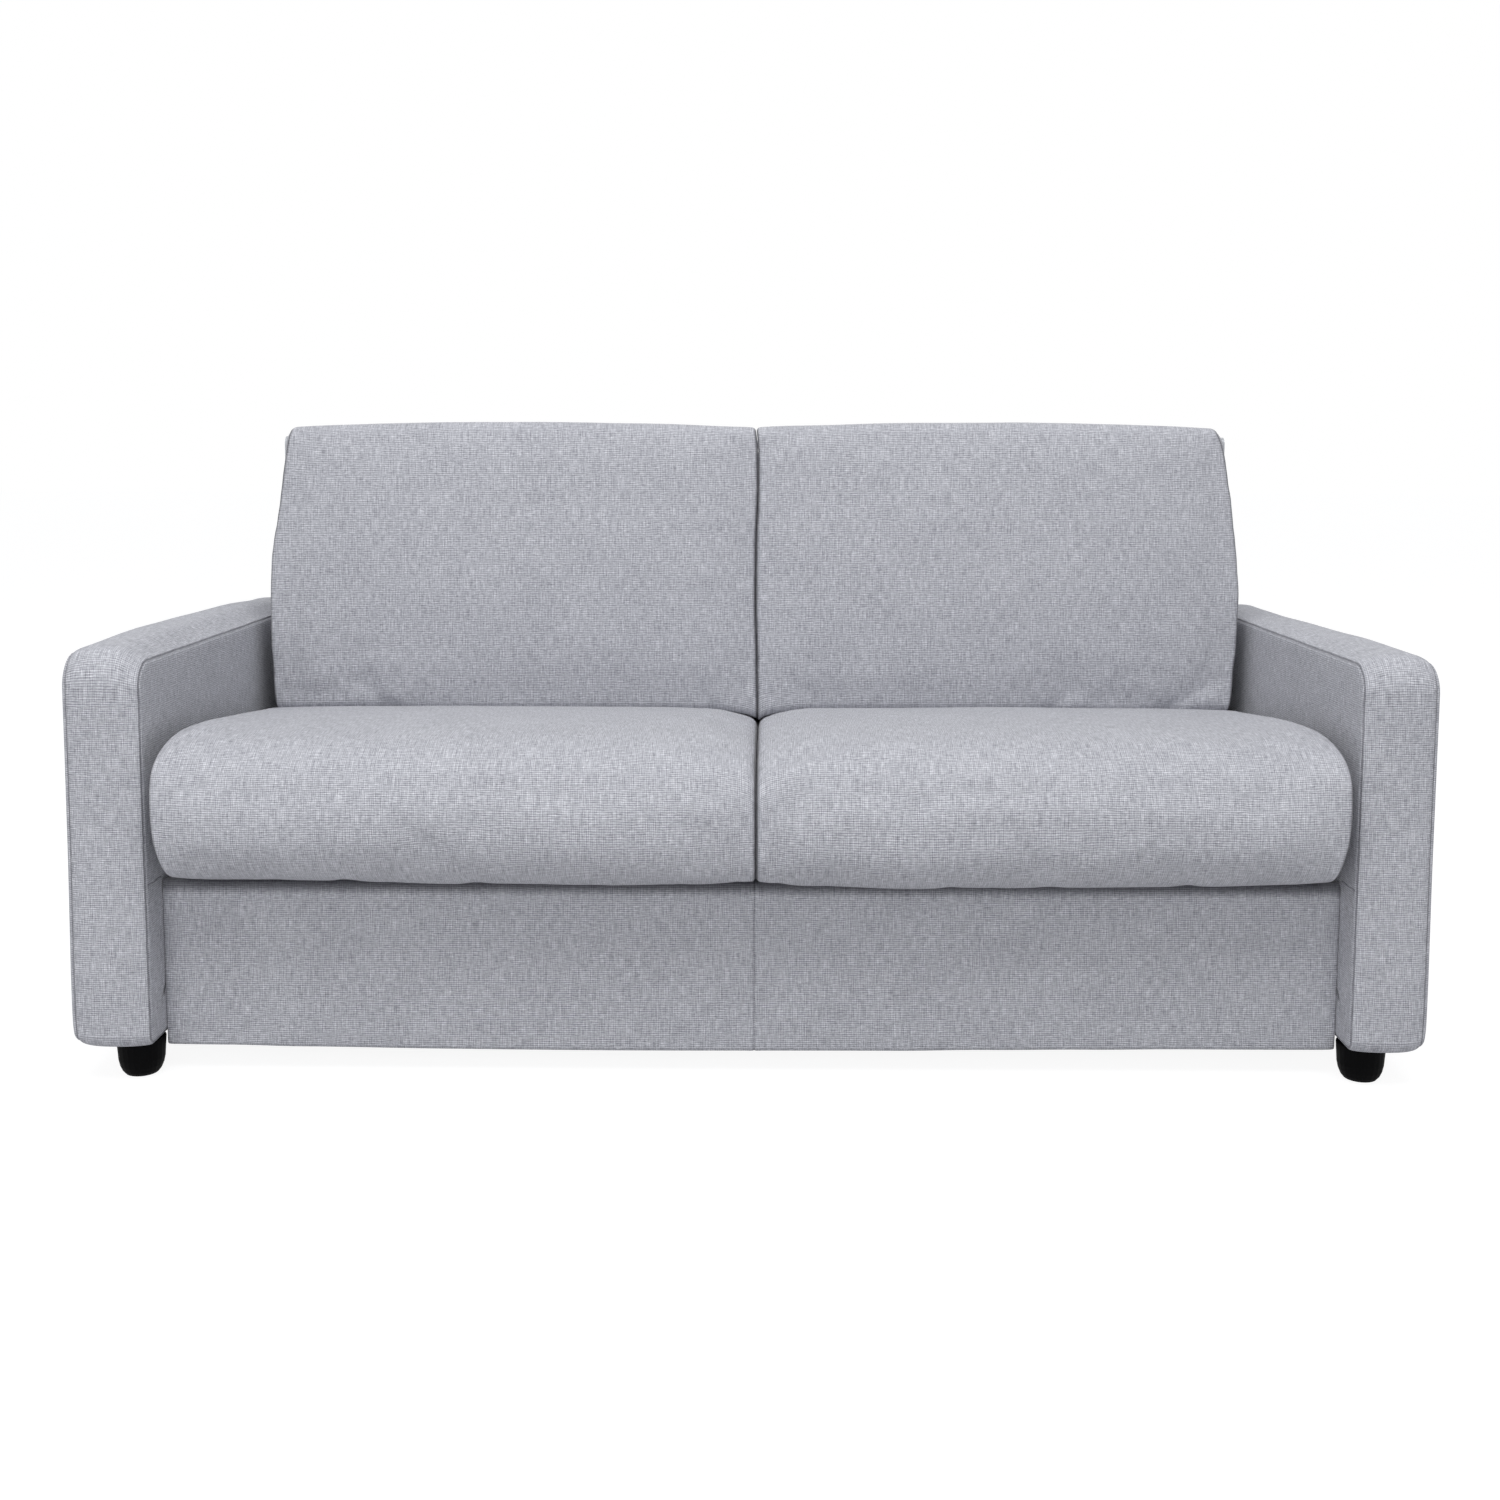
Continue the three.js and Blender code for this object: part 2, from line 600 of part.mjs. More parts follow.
// Packs an outer hinge plate out from its rail.
function spacer(xs, y, z) {
  return block(
    xs,
    [y - SPACER_LENGTH / 2, y + SPACER_LENGTH / 2],
    [z - SPACER_HEIGHT / 2, z + SPACER_HEIGHT / 2],
  );
}

function legLug(loopY, axleY, axleOffset) {
  const root = { y: loopY, z: KNEE_Z, radius: PLATE_ROOT_RADIUS };
  const eye = { y: axleY, z: KNEE_Z + axleOffset, radius: LEG_LUG_RADIUS };
  return cut(plate(strapOutline([root, eye]), LEG_LUG_X), [
    hole(LEG_AXLE_RADIUS, LEG_LUG_X, eye.y, eye.z),
  ]);
}

// Built flat behind the knee, then stood up about it.
function backFrame() {
  const knee = { y: KNEE_Y, z: KNEE_Z, radius: KNEE_EYE_RADIUS };
  const kneeRoot = { y: KNEE_Y + KNEE_PLATE_ROOT, z: KNEE_Z, radius: PLATE_ROOT_RADIUS };
  const kneePlate = cut(plate(strapOutline([knee, kneeRoot]), OUTER_PLATE_X), [
    hole(HINGE_PIN_RADIUS, OUTER_PLATE_X, KNEE_Y, KNEE_Z),
  ]);
  const kneeSpacer = spacer(PLATE_SPACER_X, KNEE_Y + KNEE_PLATE_ROOT - SPACER_LENGTH / 2, KNEE_Z);
  const footLug = legLug(BACK_LOOP.far, KNEE_Y + FOOT_LEG_ALONG, 0);
  const flat = [tubeLoop(BACK_LOOP, KNEE_Z), ...net(BACK_LOOP, KNEE_Z, -1)];
  return stoodUp(join([...flat, ...bothSides([kneePlate, kneeSpacer, footLug])]));
}

// A lug that saddles the cross tube next to the knee.
function middleLegLug() {
  const lug = legLug(BACK_LOOP.near, KNEE_Y + MIDDLE_LEG_ALONG, MIDDLE_LEG_OFFSET);
  const seat = hole(TUBE_RADIUS + SEAT_GAP, LEG_LUG_X, BACK_LOOP.near, KNEE_Z);
  return stoodUp(cut(lug, [seat]));
}

function stoodUp(geometry) {
  return geometry.translate(0, -KNEE_Y, -KNEE_Z).rotateX(Math.PI / 2).translate(0, KNEE_Y, KNEE_Z);
}

function mattress([y0, y1], [z0, z1]) {
  const outline = roundedOutline([
    [y0, z0, MATTRESS_EDGE_RADIUS],
    [y1, z0, MATTRESS_EDGE_RADIUS],
    [y1, z1, MATTRESS_EDGE_RADIUS],
    [y0, z1, MATTRESS_EDGE_RADIUS],
  ], 2, 1);
  return paddedForm({
    outline,
    from: -MATTRESS_HALF_WIDTH,
    to: MATTRESS_HALF_WIDTH,
    endRadius: MATTRESS_EDGE_RADIUS,
    endBulge: RUN_GAP,
    endSteps: 2,
    midSteps: 1,
    place: (along, a, b) => [along, a, b],
  });
}

function hingePin(y, z) {
  const inner = INNER_PLATE_X[0] - SEAT_GAP;
  const outer = OUTER_PLATE_X[1] + SEAT_GAP;
  return turnedAlongX([
    [inner - PIN_HEAD_THICKNESS, HINGE_PIN_RADIUS],
    [outer, HINGE_PIN_RADIUS],
    [outer, PIN_HEAD_RADIUS],
    [outer + PIN_HEAD_THICKNESS, PIN_HEAD_RADIUS],
  ], y, z);
}

// Swing arms
function swingPoints(index) {
  const baseY = SWING_BASE_Y + index * SWING_SPACING;
  return {
    base: { y: baseY, z: SWING_BASE_Z },
    tip: { y: baseY + SWING_REACH, z: SWING_BASE_Z - SWING_DROP },
  };
}

// A flat bar, waisted between two round eyes.
function swingArm(index) {
  const { base, tip } = swingPoints(index);
  const eye = SWING_WIDTH / 2;
  const away = Math.atan2(base.z - tip.z, base.y - tip.y);
  const neck = Math.asin(SWING_WAIST / SWING_WIDTH);
  const shape = new THREE.Shape();
  shape.absarc(base.y, base.z, eye, away - Math.PI + neck, away + Math.PI - neck, false);
  shape.absarc(tip.y, tip.z, eye, away + neck, away - neck + 2 * Math.PI, false);
  shape.holes = [base, tip].map(({ y, z }) => (
    new THREE.Path().absarc(y, z, SWING_PIN_RADIUS + PIN_CLEARANCE, 0, 2 * Math.PI, true)
  ));
  return extrudedAcross(shape, SWING_X);
}

// A shouldered pin from a plate or rail through a swing arm, with its head beyond.
// towards is the side of the arm, along X, that the head lies on.
function swingPin(rootX, towards, { y, z }) {
  const [nearFace, farFace] = towards > 0 ? SWING_X : [...SWING_X].reverse();
  const shoulderX = nearFace - towards * SEAT_GAP;
  const headX = farFace + towards * SEAT_GAP;
  return turnedAlongX([
    [rootX, PIN_HEAD_RADIUS],
    [shoulderX, PIN_HEAD_RADIUS],
    [shoulderX, SWING_PIN_RADIUS],
    [headX, SWING_PIN_RADIUS],
    [headX, SWING_HEAD_RADIUS],
    [headX + towards * PIN_HEAD_THICKNESS, SWING_HEAD_RADIUS],
  ], y, z);
}

function sidePlate() {
  const lobes = [0, 1].map((index) => {
    const { base } = swingPoints(index);
    const eye = { ...base, radius: SIDE_LOBE_RADIUS };
    const rootZ = SIDE_PLATE_Z[0] + SIDE_LOBE_RADIUS;
    const roots = [-1, 1].map((side) => ({
      y: base.y + side * SIDE_LOBE_ROOT,
      z: rootZ,
      radius: SIDE_LOBE_RADIUS,
    }));
    return plate(strapOutline([eye, ...roots]), SIDE_PLATE_X);
  });
  const strip = block(SIDE_PLATE_X, SIDE_PLATE_YS, SIDE_PLATE_Z);
  return join([strip, ...lobes]);
}

function crossbar() {
  const half = SIDE_PLATE_X[0] - SEAT_GAP;
  const y = [SIDE_PLATE_YS[0], SIDE_PLATE_YS[0] + CROSSBAR];
  return block([-half, half], y, [CROSSBAR_Z, CROSSBAR_Z + CROSSBAR]);
}

// A rubber stop under a swing arm, on the side plate.
function buffer(index) {
  const { base, tip } = swingPoints(index);
  const along = new THREE.Vector2(tip.y - base.y, tip.z - base.z);
  const under = new THREE.Vector2(along.y, -along.x).normalize();
  const reach = SWING_WAIST / 2 + BUFFER_RADIUS + SEAT_GAP;
  const y = base.y + along.x * BUFFER_SHARE + under.x * reach;
  const z = base.z + along.y * BUFFER_SHARE + under.y * reach;
  return barAlongX(BUFFER_RADIUS, [SWING_X[0], SIDE_PLATE_X[0] - SEAT_GAP], y, z);
}

// Leg hoops
function legPivots() {
  return {
    middle: { y: KNEE_Y - MIDDLE_LEG_OFFSET, z: KNEE_Z + MIDDLE_LEG_ALONG, drop: MIDDLE_LEG_OFFSET },
    foot: { y: KNEE_Y, z: KNEE_Z + FOOT_LEG_ALONG, drop: 0 },
  };
}

function legHoop({ y, z, drop }) {
  const length = BED_TUBE_Z - drop - LEG_FLOOR_GAP;
  const endZ = z - length + LEG_PAD_HEIGHT + SEAT_GAP + LEG_END_RADIUS;
  const reach = LEG_WIDTH / 2 - LEG_END_RADIUS;
  const ends = [-reach, reach].map((offset) => ({ y: y + offset, z: endZ, radius: LEG_END_RADIUS }));
  const leg = plate(strapOutline([{ y, z, radius: LEG_WIDTH / 2 }, ...ends]), LEG_X);
  return join([barAlongX(LEG_AXLE_RADIUS, [-LEG_X[1], LEG_X[1]], y, z), ...bothSides([leg])]);
}

function legPad({ y, z, drop }) {
  const bottomZ = z - (BED_TUBE_Z - drop - LEG_FLOOR_GAP);
  return block(LEG_X, [y - LEG_PAD_WIDTH / 2, y + LEG_PAD_WIDTH / 2], [bottomZ, bottomZ + LEG_PAD_HEIGHT]);
}

// Cushions
function seatCushion() {
  const { noseBottom, noseTop, crest, rearTop, rearBottom } = SEAT_CORNERS;
  const noseY = -REAR_Y + SEAT_NOSE_CROWN;
  const bottom = SEAT_CUSHION_BOTTOM_Z;
  const outline = roundedOutline([
    [noseY, bottom + SEAT_NOSE_LIFT, noseBottom],
    [ARM_FRONT_Y + SEAT_NOSE_END, bottom + SEAT_NOSE_LIFT, noseTop],
    [FOLD_Y + noseTop, bottom, noseTop],
    [ARM_FRONT_Y + SEAT_CUSHION_REAR, bottom, rearBottom],
    [ARM_FRONT_Y + SEAT_CUSHION_REAR, SEAT_REAR_TOP_Z, rearTop],
    [ARM_FRONT_Y + SEAT_CROWN_END, SEAT_REAR_TOP_Z, crest],
    [ARM_FRONT_Y + SEAT_CREST, SEAT_CREST_TOP_Z, crest],
    [noseY, SEAT_CREST_TOP_Z - SEAT_CROWN, noseTop],
  ], 3, 2);
  const width = CUSHION_HALF_WIDTH - CUSHION_SPLIT;
  const middle = CUSHION_SPLIT + width / 2;
  const crownEnd = ARM_FRONT_Y + SEAT_CROWN_END;
  return paddedForm({
    outline,
    from: CUSHION_SPLIT,
    to: CUSHION_HALF_WIDTH,
    endRadius: CUSHION_END_RADIUS,
    endBulge: CUSHION_END_BULGE,
    endSteps: 3,
    midSteps: 5,
    place: (along, a, b) => {
      const share = 1 - ((along - middle) / (width / 2)) ** 2;
      const height = (b - bottom) / (SEAT_REAR_TOP_Z - bottom);
      const depth = THREE.MathUtils.clamp((crownEnd - a) / (crownEnd - noseY), 0, 1);
      const forward = depth ** 4 * Math.max(0, Math.sin(Math.PI * Math.min(1, Math.max(0, height))));
      return [
        along,
        a - SEAT_NOSE_CROWN * share * forward,
        b + SEAT_CROWN * share * Math.max(0, height) ** 3 * Math.min(1, 3 * depth),
      ];
    },
  });
}

function backCushion() {
  const { frontBottom, rearBottom, rearTop, frontTop } = BACK_CORNERS;
  const rearY = KNEE_Y - TUBE_RADIUS - SEAT_GAP;
  const outline = roundedOutline([
    [ARM_FRONT_Y + BACK_CUSHION_FOOT, BACK_CUSHION_BOTTOM_Z, frontBottom],
    [rearY, BACK_CUSHION_BOTTOM_Z, rearBottom],
    [rearY, BACK_CUSHION_TOP_Z, rearTop],
    [ARM_FRONT_Y + BACK_CUSHION_HEAD, BACK_CUSHION_TOP_Z, frontTop],
  ], 4, 3);
  const width = CUSHION_HALF_WIDTH - CUSHION_SPLIT;
  const middle = CUSHION_SPLIT + width / 2;
  const height = BACK_CUSHION_TOP_Z - BACK_CUSHION_BOTTOM_Z;
  return paddedForm({
    outline,
    from: CUSHION_SPLIT,
    to: CUSHION_HALF_WIDTH,
    endRadius: CUSHION_END_RADIUS,
    endBulge: CUSHION_END_BULGE,
    endSteps: 3,
    midSteps: 5,
    place: (along, a, b) => {
      const share = 1 - ((along - middle) / (width / 2)) ** 2;
      const rise = (b - BACK_CUSHION_BOTTOM_Z) / height;
      const front = THREE.MathUtils.clamp((rearY - a) / (rearY - ARM_FRONT_Y - BACK_CUSHION_FOOT), 0, 1);
      const belly = BACK_BELLY * share * front * Math.sin(Math.PI * THREE.MathUtils.clamp(rise, 0, 1));
      const crown = BACK_CROWN * share * Math.max(0, rise) ** 4;
      return [along, a - belly, b + crown];
    },
  });
}

// Finishes
const FABRIC = { color: 0xa7a9b0, roughness: 0.95, metalness: 0 };
const TICKING = { color: 0xeceae4, roughness: 0.9, metalness: 0 };
const STEEL = { color: 0x3b3d40, roughness: 0.45, metalness: 0.6 };
const PIN_STEEL = { color: 0xb4b7ba, roughness: 0.3, metalness: 0.9 };
const TIMBER = { color: 0xc8a878, roughness: 0.7, metalness: 0 };
const BLACK_PLASTIC = { color: 0x17171a, roughness: 0.6, metalness: 0 };
const RUBBER = { color: 0x1c1c1c, roughness: 0.9, metalness: 0 };

const sofa = new THREE.Group();
sofa.name = 'roll_forward_sleeper_sofa';

function add(name, geometry, finish) {
  const mesh = new THREE.Mesh(geometry, new THREE.MeshStandardMaterial(finish));
  mesh.name = name;
  sofa.add(mesh);
}

function addPair(name, geometry, finish) {
  add(`${name}_right`, geometry, finish);
  add(`${name}_left`, mirrored(geometry), finish);
}

// Standing frame
addPair('arm_cover', armCover(), FABRIC);
addPair('arm_frame', armFrame(), TIMBER);
addPair('arm_base_board', armBaseBoard(), TIMBER);
addPair('front_foot', foot(ARM_FRONT_Y + FOOT_INSET_Y), BLACK_PLASTIC);
addPair('rear_foot', foot(REAR_Y - FOOT_INSET_Y), BLACK_PLASTIC);
const frontPanelY = ARM_FRONT_Y + FRONT_PANEL_RECESS;
const panelDepth = PANEL_BOARD + PANEL_PADDING;
const frontPanel = panelPieces(frontPanelY + panelDepth, frontPanelY, FRONT_PANEL_TOP_Z);
const rearPanelY = REAR_Y - REAR_PANEL_SETBACK;
const rearPanel = panelPieces(rearPanelY - panelDepth, rearPanelY, REAR_PANEL_TOP_Z);
add('front_panel_cover', frontPanel.cover, FABRIC);
add('front_panel_board', frontPanel.board, TIMBER);
add('rear_panel_cover', rearPanel.cover, FABRIC);
add('rear_panel_board', rearPanel.board, TIMBER);
addPair('side_plate', sidePlate(), STEEL);
add('front_crossbar', crossbar(), STEEL);
['front', 'rear'].forEach((row, index) => {
  const { base, tip } = swingPoints(index);
  addPair(`${row}_swing_base_pin`, swingPin(SIDE_PLATE_X[0] - SEAT_GAP, -1, base), PIN_STEEL);
  addPair(`${row}_swing_tip_pin`, swingPin(RAIL_X + TUBE_RADIUS + SEAT_GAP, 1, tip), PIN_STEEL);
  addPair(`${row}_swing_arm`, swingArm(index), STEEL);
});
addPair('rest_buffer', buffer(0), RUBBER);

// Head section, in the base
add('head_frame', headFrame(), STEEL);
addPair('head_hinge_plate', headHingePlate(), STEEL);
add('head_mattress', mattress(
  [FOLD_Y, HEAD_LOOP.far + TUBE_RADIUS],
  [HEAD_MATTRESS_Z, HEAD_MATTRESS_Z + MATTRESS_THICKNESS],
), TICKING);
addPair('fold_hinge_pin', hingePin(FOLD_Y, FOLD_Z), PIN_STEEL);

// Seat section
add('seat_frame', seatFrame(), STEEL);
addPair('seat_hinge_plate', seatHingePlate(), STEEL);
add('middle_mattress', mattress(
  [FOLD_Y + MATTRESS_JOINT_GAP, KNEE_Y - MATTRESS_JOINT_GAP],
  [FOLD_Z + SEAT_GAP, FOLD_Z + SEAT_GAP + MATTRESS_THICKNESS],
), TICKING);
addPair('seat_cushion', seatCushion(), FABRIC);
addPair('knee_hinge_pin', hingePin(KNEE_Y, KNEE_Z), PIN_STEEL);

// Back section
add('back_frame', backFrame(), STEEL);
addPair('middle_leg_lug', middleLegLug(), STEEL);
add('foot_mattress', mattress(
  [KNEE_Y + TUBE_RADIUS + SEAT_GAP, KNEE_Y + TUBE_RADIUS + SEAT_GAP + MATTRESS_THICKNESS],
  [KNEE_Z + MATTRESS_JOINT_GAP, KNEE_Z + BACK_LOOP.far - KNEE_Y + TUBE_RADIUS],
), TICKING);
addPair('back_cushion', backCushion(), FABRIC);

// Legs of the bed
const pivots = legPivots();
add('middle_leg_hoop', legHoop(pivots.middle), STEEL);
addPair('middle_leg_pad', legPad(pivots.middle), RUBBER);
add('foot_leg_hoop', legHoop(pivots.foot), STEEL);
addPair('foot_leg_pad', legPad(pivots.foot), RUBBER);

export default sofa;
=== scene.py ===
import math

import bmesh
import bpy
import numpy as np
from mathutils import Matrix, Vector, noise


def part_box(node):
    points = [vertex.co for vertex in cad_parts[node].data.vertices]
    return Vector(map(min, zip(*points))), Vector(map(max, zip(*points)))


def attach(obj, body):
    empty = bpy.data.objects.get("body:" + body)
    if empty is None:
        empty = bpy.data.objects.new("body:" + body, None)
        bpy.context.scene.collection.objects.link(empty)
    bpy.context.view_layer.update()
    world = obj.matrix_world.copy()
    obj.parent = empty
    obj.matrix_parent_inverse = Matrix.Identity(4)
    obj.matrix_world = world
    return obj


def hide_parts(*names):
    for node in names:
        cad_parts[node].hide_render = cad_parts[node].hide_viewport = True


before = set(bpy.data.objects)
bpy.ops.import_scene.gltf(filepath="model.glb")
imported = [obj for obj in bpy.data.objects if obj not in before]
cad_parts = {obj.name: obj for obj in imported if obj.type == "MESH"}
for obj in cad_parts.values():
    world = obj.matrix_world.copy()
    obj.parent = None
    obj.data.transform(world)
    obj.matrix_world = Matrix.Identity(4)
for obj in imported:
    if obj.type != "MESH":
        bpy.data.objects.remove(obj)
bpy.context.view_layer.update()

# ---------------------------------------------------------------- small sums


def lerp(a, b, t):
    return a + (b - a) * t


def smooth(a, b, x):
    t = min(1.0, max(0.0, (x - a) / (b - a)))
    return t * t * (3 - 2 * t)


def bump_at(x, centre, width):
    return math.exp(-((x - centre) / width) ** 2)


def along_table(x, table):
    """A smooth value read from a table of (place, value)."""
    if x <= table[0][0]:
        return table[0][1]
    for (x0, v0), (x1, v1) in zip(table, table[1:]):
        if x <= x1:
            return lerp(v0, v1, smooth(x0, x1, x))
    return table[-1][1]


def rumple(point, size, seed):
    """A soft random value from -1 to 1 that changes over that size."""
    return noise.noise(Vector(point) / size + Vector((seed, seed * 1.7, -seed)))


# ---------------------------------------------------------------- outlines


def rounded_outline(corners, radii, arc_step):
    """A closed convex outline through the corners, rounded by the radii."""
    n = len(corners)
    out = []
    for i in range(n):
        p = Vector(corners[i])
        a = (Vector(corners[i - 1]) - p).normalized()
        b = (Vector(corners[(i + 1) % n]) - p).normalized()
        half = a.angle(b) / 2
        r = radii[i]
        back = r / math.tan(half)
        centre = p + (a + b).normalized() * (r / math.sin(half))
        start, end = p + a * back, p + b * back
        a0 = math.atan2(start.y - centre.y, start.x - centre.x)
        a1 = math.atan2(end.y - centre.y, end.x - centre.x)
        turn = (a1 - a0 + math.pi) % (2 * math.pi) - math.pi
        parts = max(3, round(abs(turn) * r / arc_step))
        for k in range(parts + 1):
            t = a0 + turn * k / parts
            out.append(Vector((centre.x + r * math.cos(t), centre.y + r * math.sin(t))))
    return out


def curve_through(points, parts=8):
    """A closed smooth outline through the points, with that many parts from each to the next."""
    n = len(points)
    out = []
    for i in range(n):
        p0, p1, p2, p3 = (Vector(points[(i + k) % n]) for k in (-1, 0, 1, 2))
        for k in range(parts):
            t = k / parts
            out.append(0.5 * (2 * p1 + (p2 - p0) * t + (2 * p0 - 5 * p1 + 4 * p2 - p3) * t * t
                              + (3 * p1 - p0 - 3 * p2 + p3) * t ** 3))
    return out


def even(points, step):
    """Evenly spaced points along a closed outline."""
    lengths = arc_lengths(points)
    total = lengths[-1]
    count = max(8, round(total / step))
    out, k = [], 0
    for i in range(count):
        want = total * i / count
        while lengths[k + 1] < want:
            k += 1
        span = lengths[k + 1] - lengths[k]
        t = (want - lengths[k]) / span if span > 0 else 0
        out.append(points[k].lerp(points[(k + 1) % len(points)], t))
    return out


def resample(points, step):
    """Keeps the outline's own points and fills the long stretches between them."""
    out = []
    for i, a in enumerate(points):
        b = points[(i + 1) % len(points)]
        if (b - a).length < step / 50:
            continue
        parts = max(1, round((b - a).length / step))
        out += [a.lerp(b, k / parts) for k in range(parts)]
    return out


def outline_normals(points):
    """Outward normals of a closed outline, whichever way it runs."""
    n = len(points)
    area = sum(points[i].cross(points[(i + 1) % n]) for i in range(n))
    sign = 1 if area > 0 else -1
    out = []
    for i in range(n):
        t = points[(i + 1) % n] - points[i - 1]
        out.append(Vector((t.y, -t.x)).normalized() * sign)
    return out


def arc_lengths(points):
    total, out = 0.0, [0.0]
    for i in range(len(points)):
        total += (points[(i + 1) % len(points)] - points[i]).length
        out.append(total)
    return out


# ---------------------------------------------------------------- meshes


def make_object(name, verts, faces, uvs=None, painted_shade=None):
    """A smooth mesh object.

    uvs has a list of (u, v) in metres for each face, and the last argument a value for each point: how much
    shade is painted into the cloth there, kept as the attribute named fold.
    """
    mesh = bpy.data.meshes.new(name)
    mesh.from_pydata([tuple(v) for v in verts], [], faces)
    if uvs is not None:
        layer = mesh.uv_layers.new(name="weave")
        layer.data.foreach_set("uv", [c for face in uvs for pair in face for c in pair])
    if painted_shade is not None:
        mesh.attributes.new("fold", "FLOAT", "POINT").data.foreach_set("value", painted_shade)
    mesh.validate()
    mesh.update()
    obj = bpy.data.objects.new(name, mesh)
    bpy.context.collection.objects.link(obj)
    mesh.polygons.foreach_set("use_smooth", [True] * len(mesh.polygons))
    bm = bmesh.new()
    bm.from_mesh(mesh)
    bmesh.ops.recalc_face_normals(bm, faces=bm.faces)
    bm.to_mesh(mesh)
    bm.free()
    return obj


def loop_mesh(name, rings, kinds, mappings, painted_shade_rings=None):
    """Joins equal rings of points in a row and closes both ends.

    The weave of each band comes from the mapping of its kind, which turns a point, its number in the ring
    and whether it closes the ring into (u, v).
    """
    count = len(rings[0])
    verts = [p for ring in rings for p in ring]
    painted_shade = [f for ring in painted_shade_rings for f in ring] if painted_shade_rings else None
    faces, uvs = [], []
    for r in range(len(rings) - 1):
        mapping = mappings[kinds[r]]
        for i in range(count):
            j = (i + 1) % count
            wrap = j == 0
            faces.append((r * count + i, r * count + j, (r + 1) * count + j, (r + 1) * count + i))
            uvs.append([
                mapping(rings[r][i], i, False),
                mapping(rings[r][j], j, wrap),
                mapping(rings[r + 1][j], j, wrap),
                mapping(rings[r + 1][i], i, False),
            ])
    for r in (0, len(rings) - 1):
        mapping = mappings[kinds[min(r, len(kinds) - 1)]]
        for i in range(count // 2):
            across = (i, i + 1, count - 2 - i, count - 1 - i)
            corners = list(dict.fromkeys(across))
            if len(corners) > 2:
                faces.append(tuple(r * count + k for k in corners))
                uvs.append([mapping(rings[r][k], k, False) for k in corners])
    return make_object(name, verts, faces, uvs, painted_shade)


def round_the_outline(lengths, side=1):
    """Weave mapping of cloth that lies along X and round an outline with those arc lengths."""
    def mapping(p, i, wrap):
        return side * p.x, lengths[-1 if wrap else i]
    return mapping


def upright(p, i, wrap):
    """Weave mapping of cloth that lies in the YZ plane."""
    return p.y, p.z


def add_subdivision(obj):
    mod = obj.modifiers.new("finer", "SUBSURF")
    mod.levels = mod.render_levels = 1


def tube(name, points, radius, closed=False, sides=10):
    """A round cord through the points, with the weave running along it."""
    count = len(points)
    rings = []
    for i, p in enumerate(points):
        ahead = points[(i + 1) % count] if closed or i < count - 1 else points[i]
        back = points[i - 1] if closed or i > 0 else points[i]
        t = (Vector(ahead) - Vector(back)).normalized()
        side = t.orthogonal() if not rings else last - t * last.dot(t)
        side.normalize()
        last = side
        up = t.cross(side)
        rings.append([Vector(p) + (side * math.cos(a) + up * math.sin(a)) * radius
                      for a in (2 * math.pi * k / sides for k in range(sides))])
    verts = [p for ring in rings for p in ring]
    faces, uvs, run = [], [], [0.0]
    for i in range(count):
        run.append(run[-1] + (Vector(points[(i + 1) % count]) - Vector(points[i])).length)
    for i in range(count if closed else count - 1):
        k = (i + 1) % count
        for a in range(sides):
            b = (a + 1) % sides
            faces.append((i * sides + a, i * sides + b, k * sides + b, k * sides + a))
            girth = 2 * math.pi * radius / sides
            uvs.append([(run[i], a * girth), (run[i], (a + 1) * girth),
                        (run[i + 1], (a + 1) * girth), (run[i + 1], a * girth)])
    if not closed:
        for start in (0, (count - 1) * sides):
            faces.append(tuple(start + a for a in range(sides)))
            uvs.append([(0.0, 0.0)] * sides)
    return make_object(name, verts, faces, uvs)


# ---------------------------------------------------------------- materials


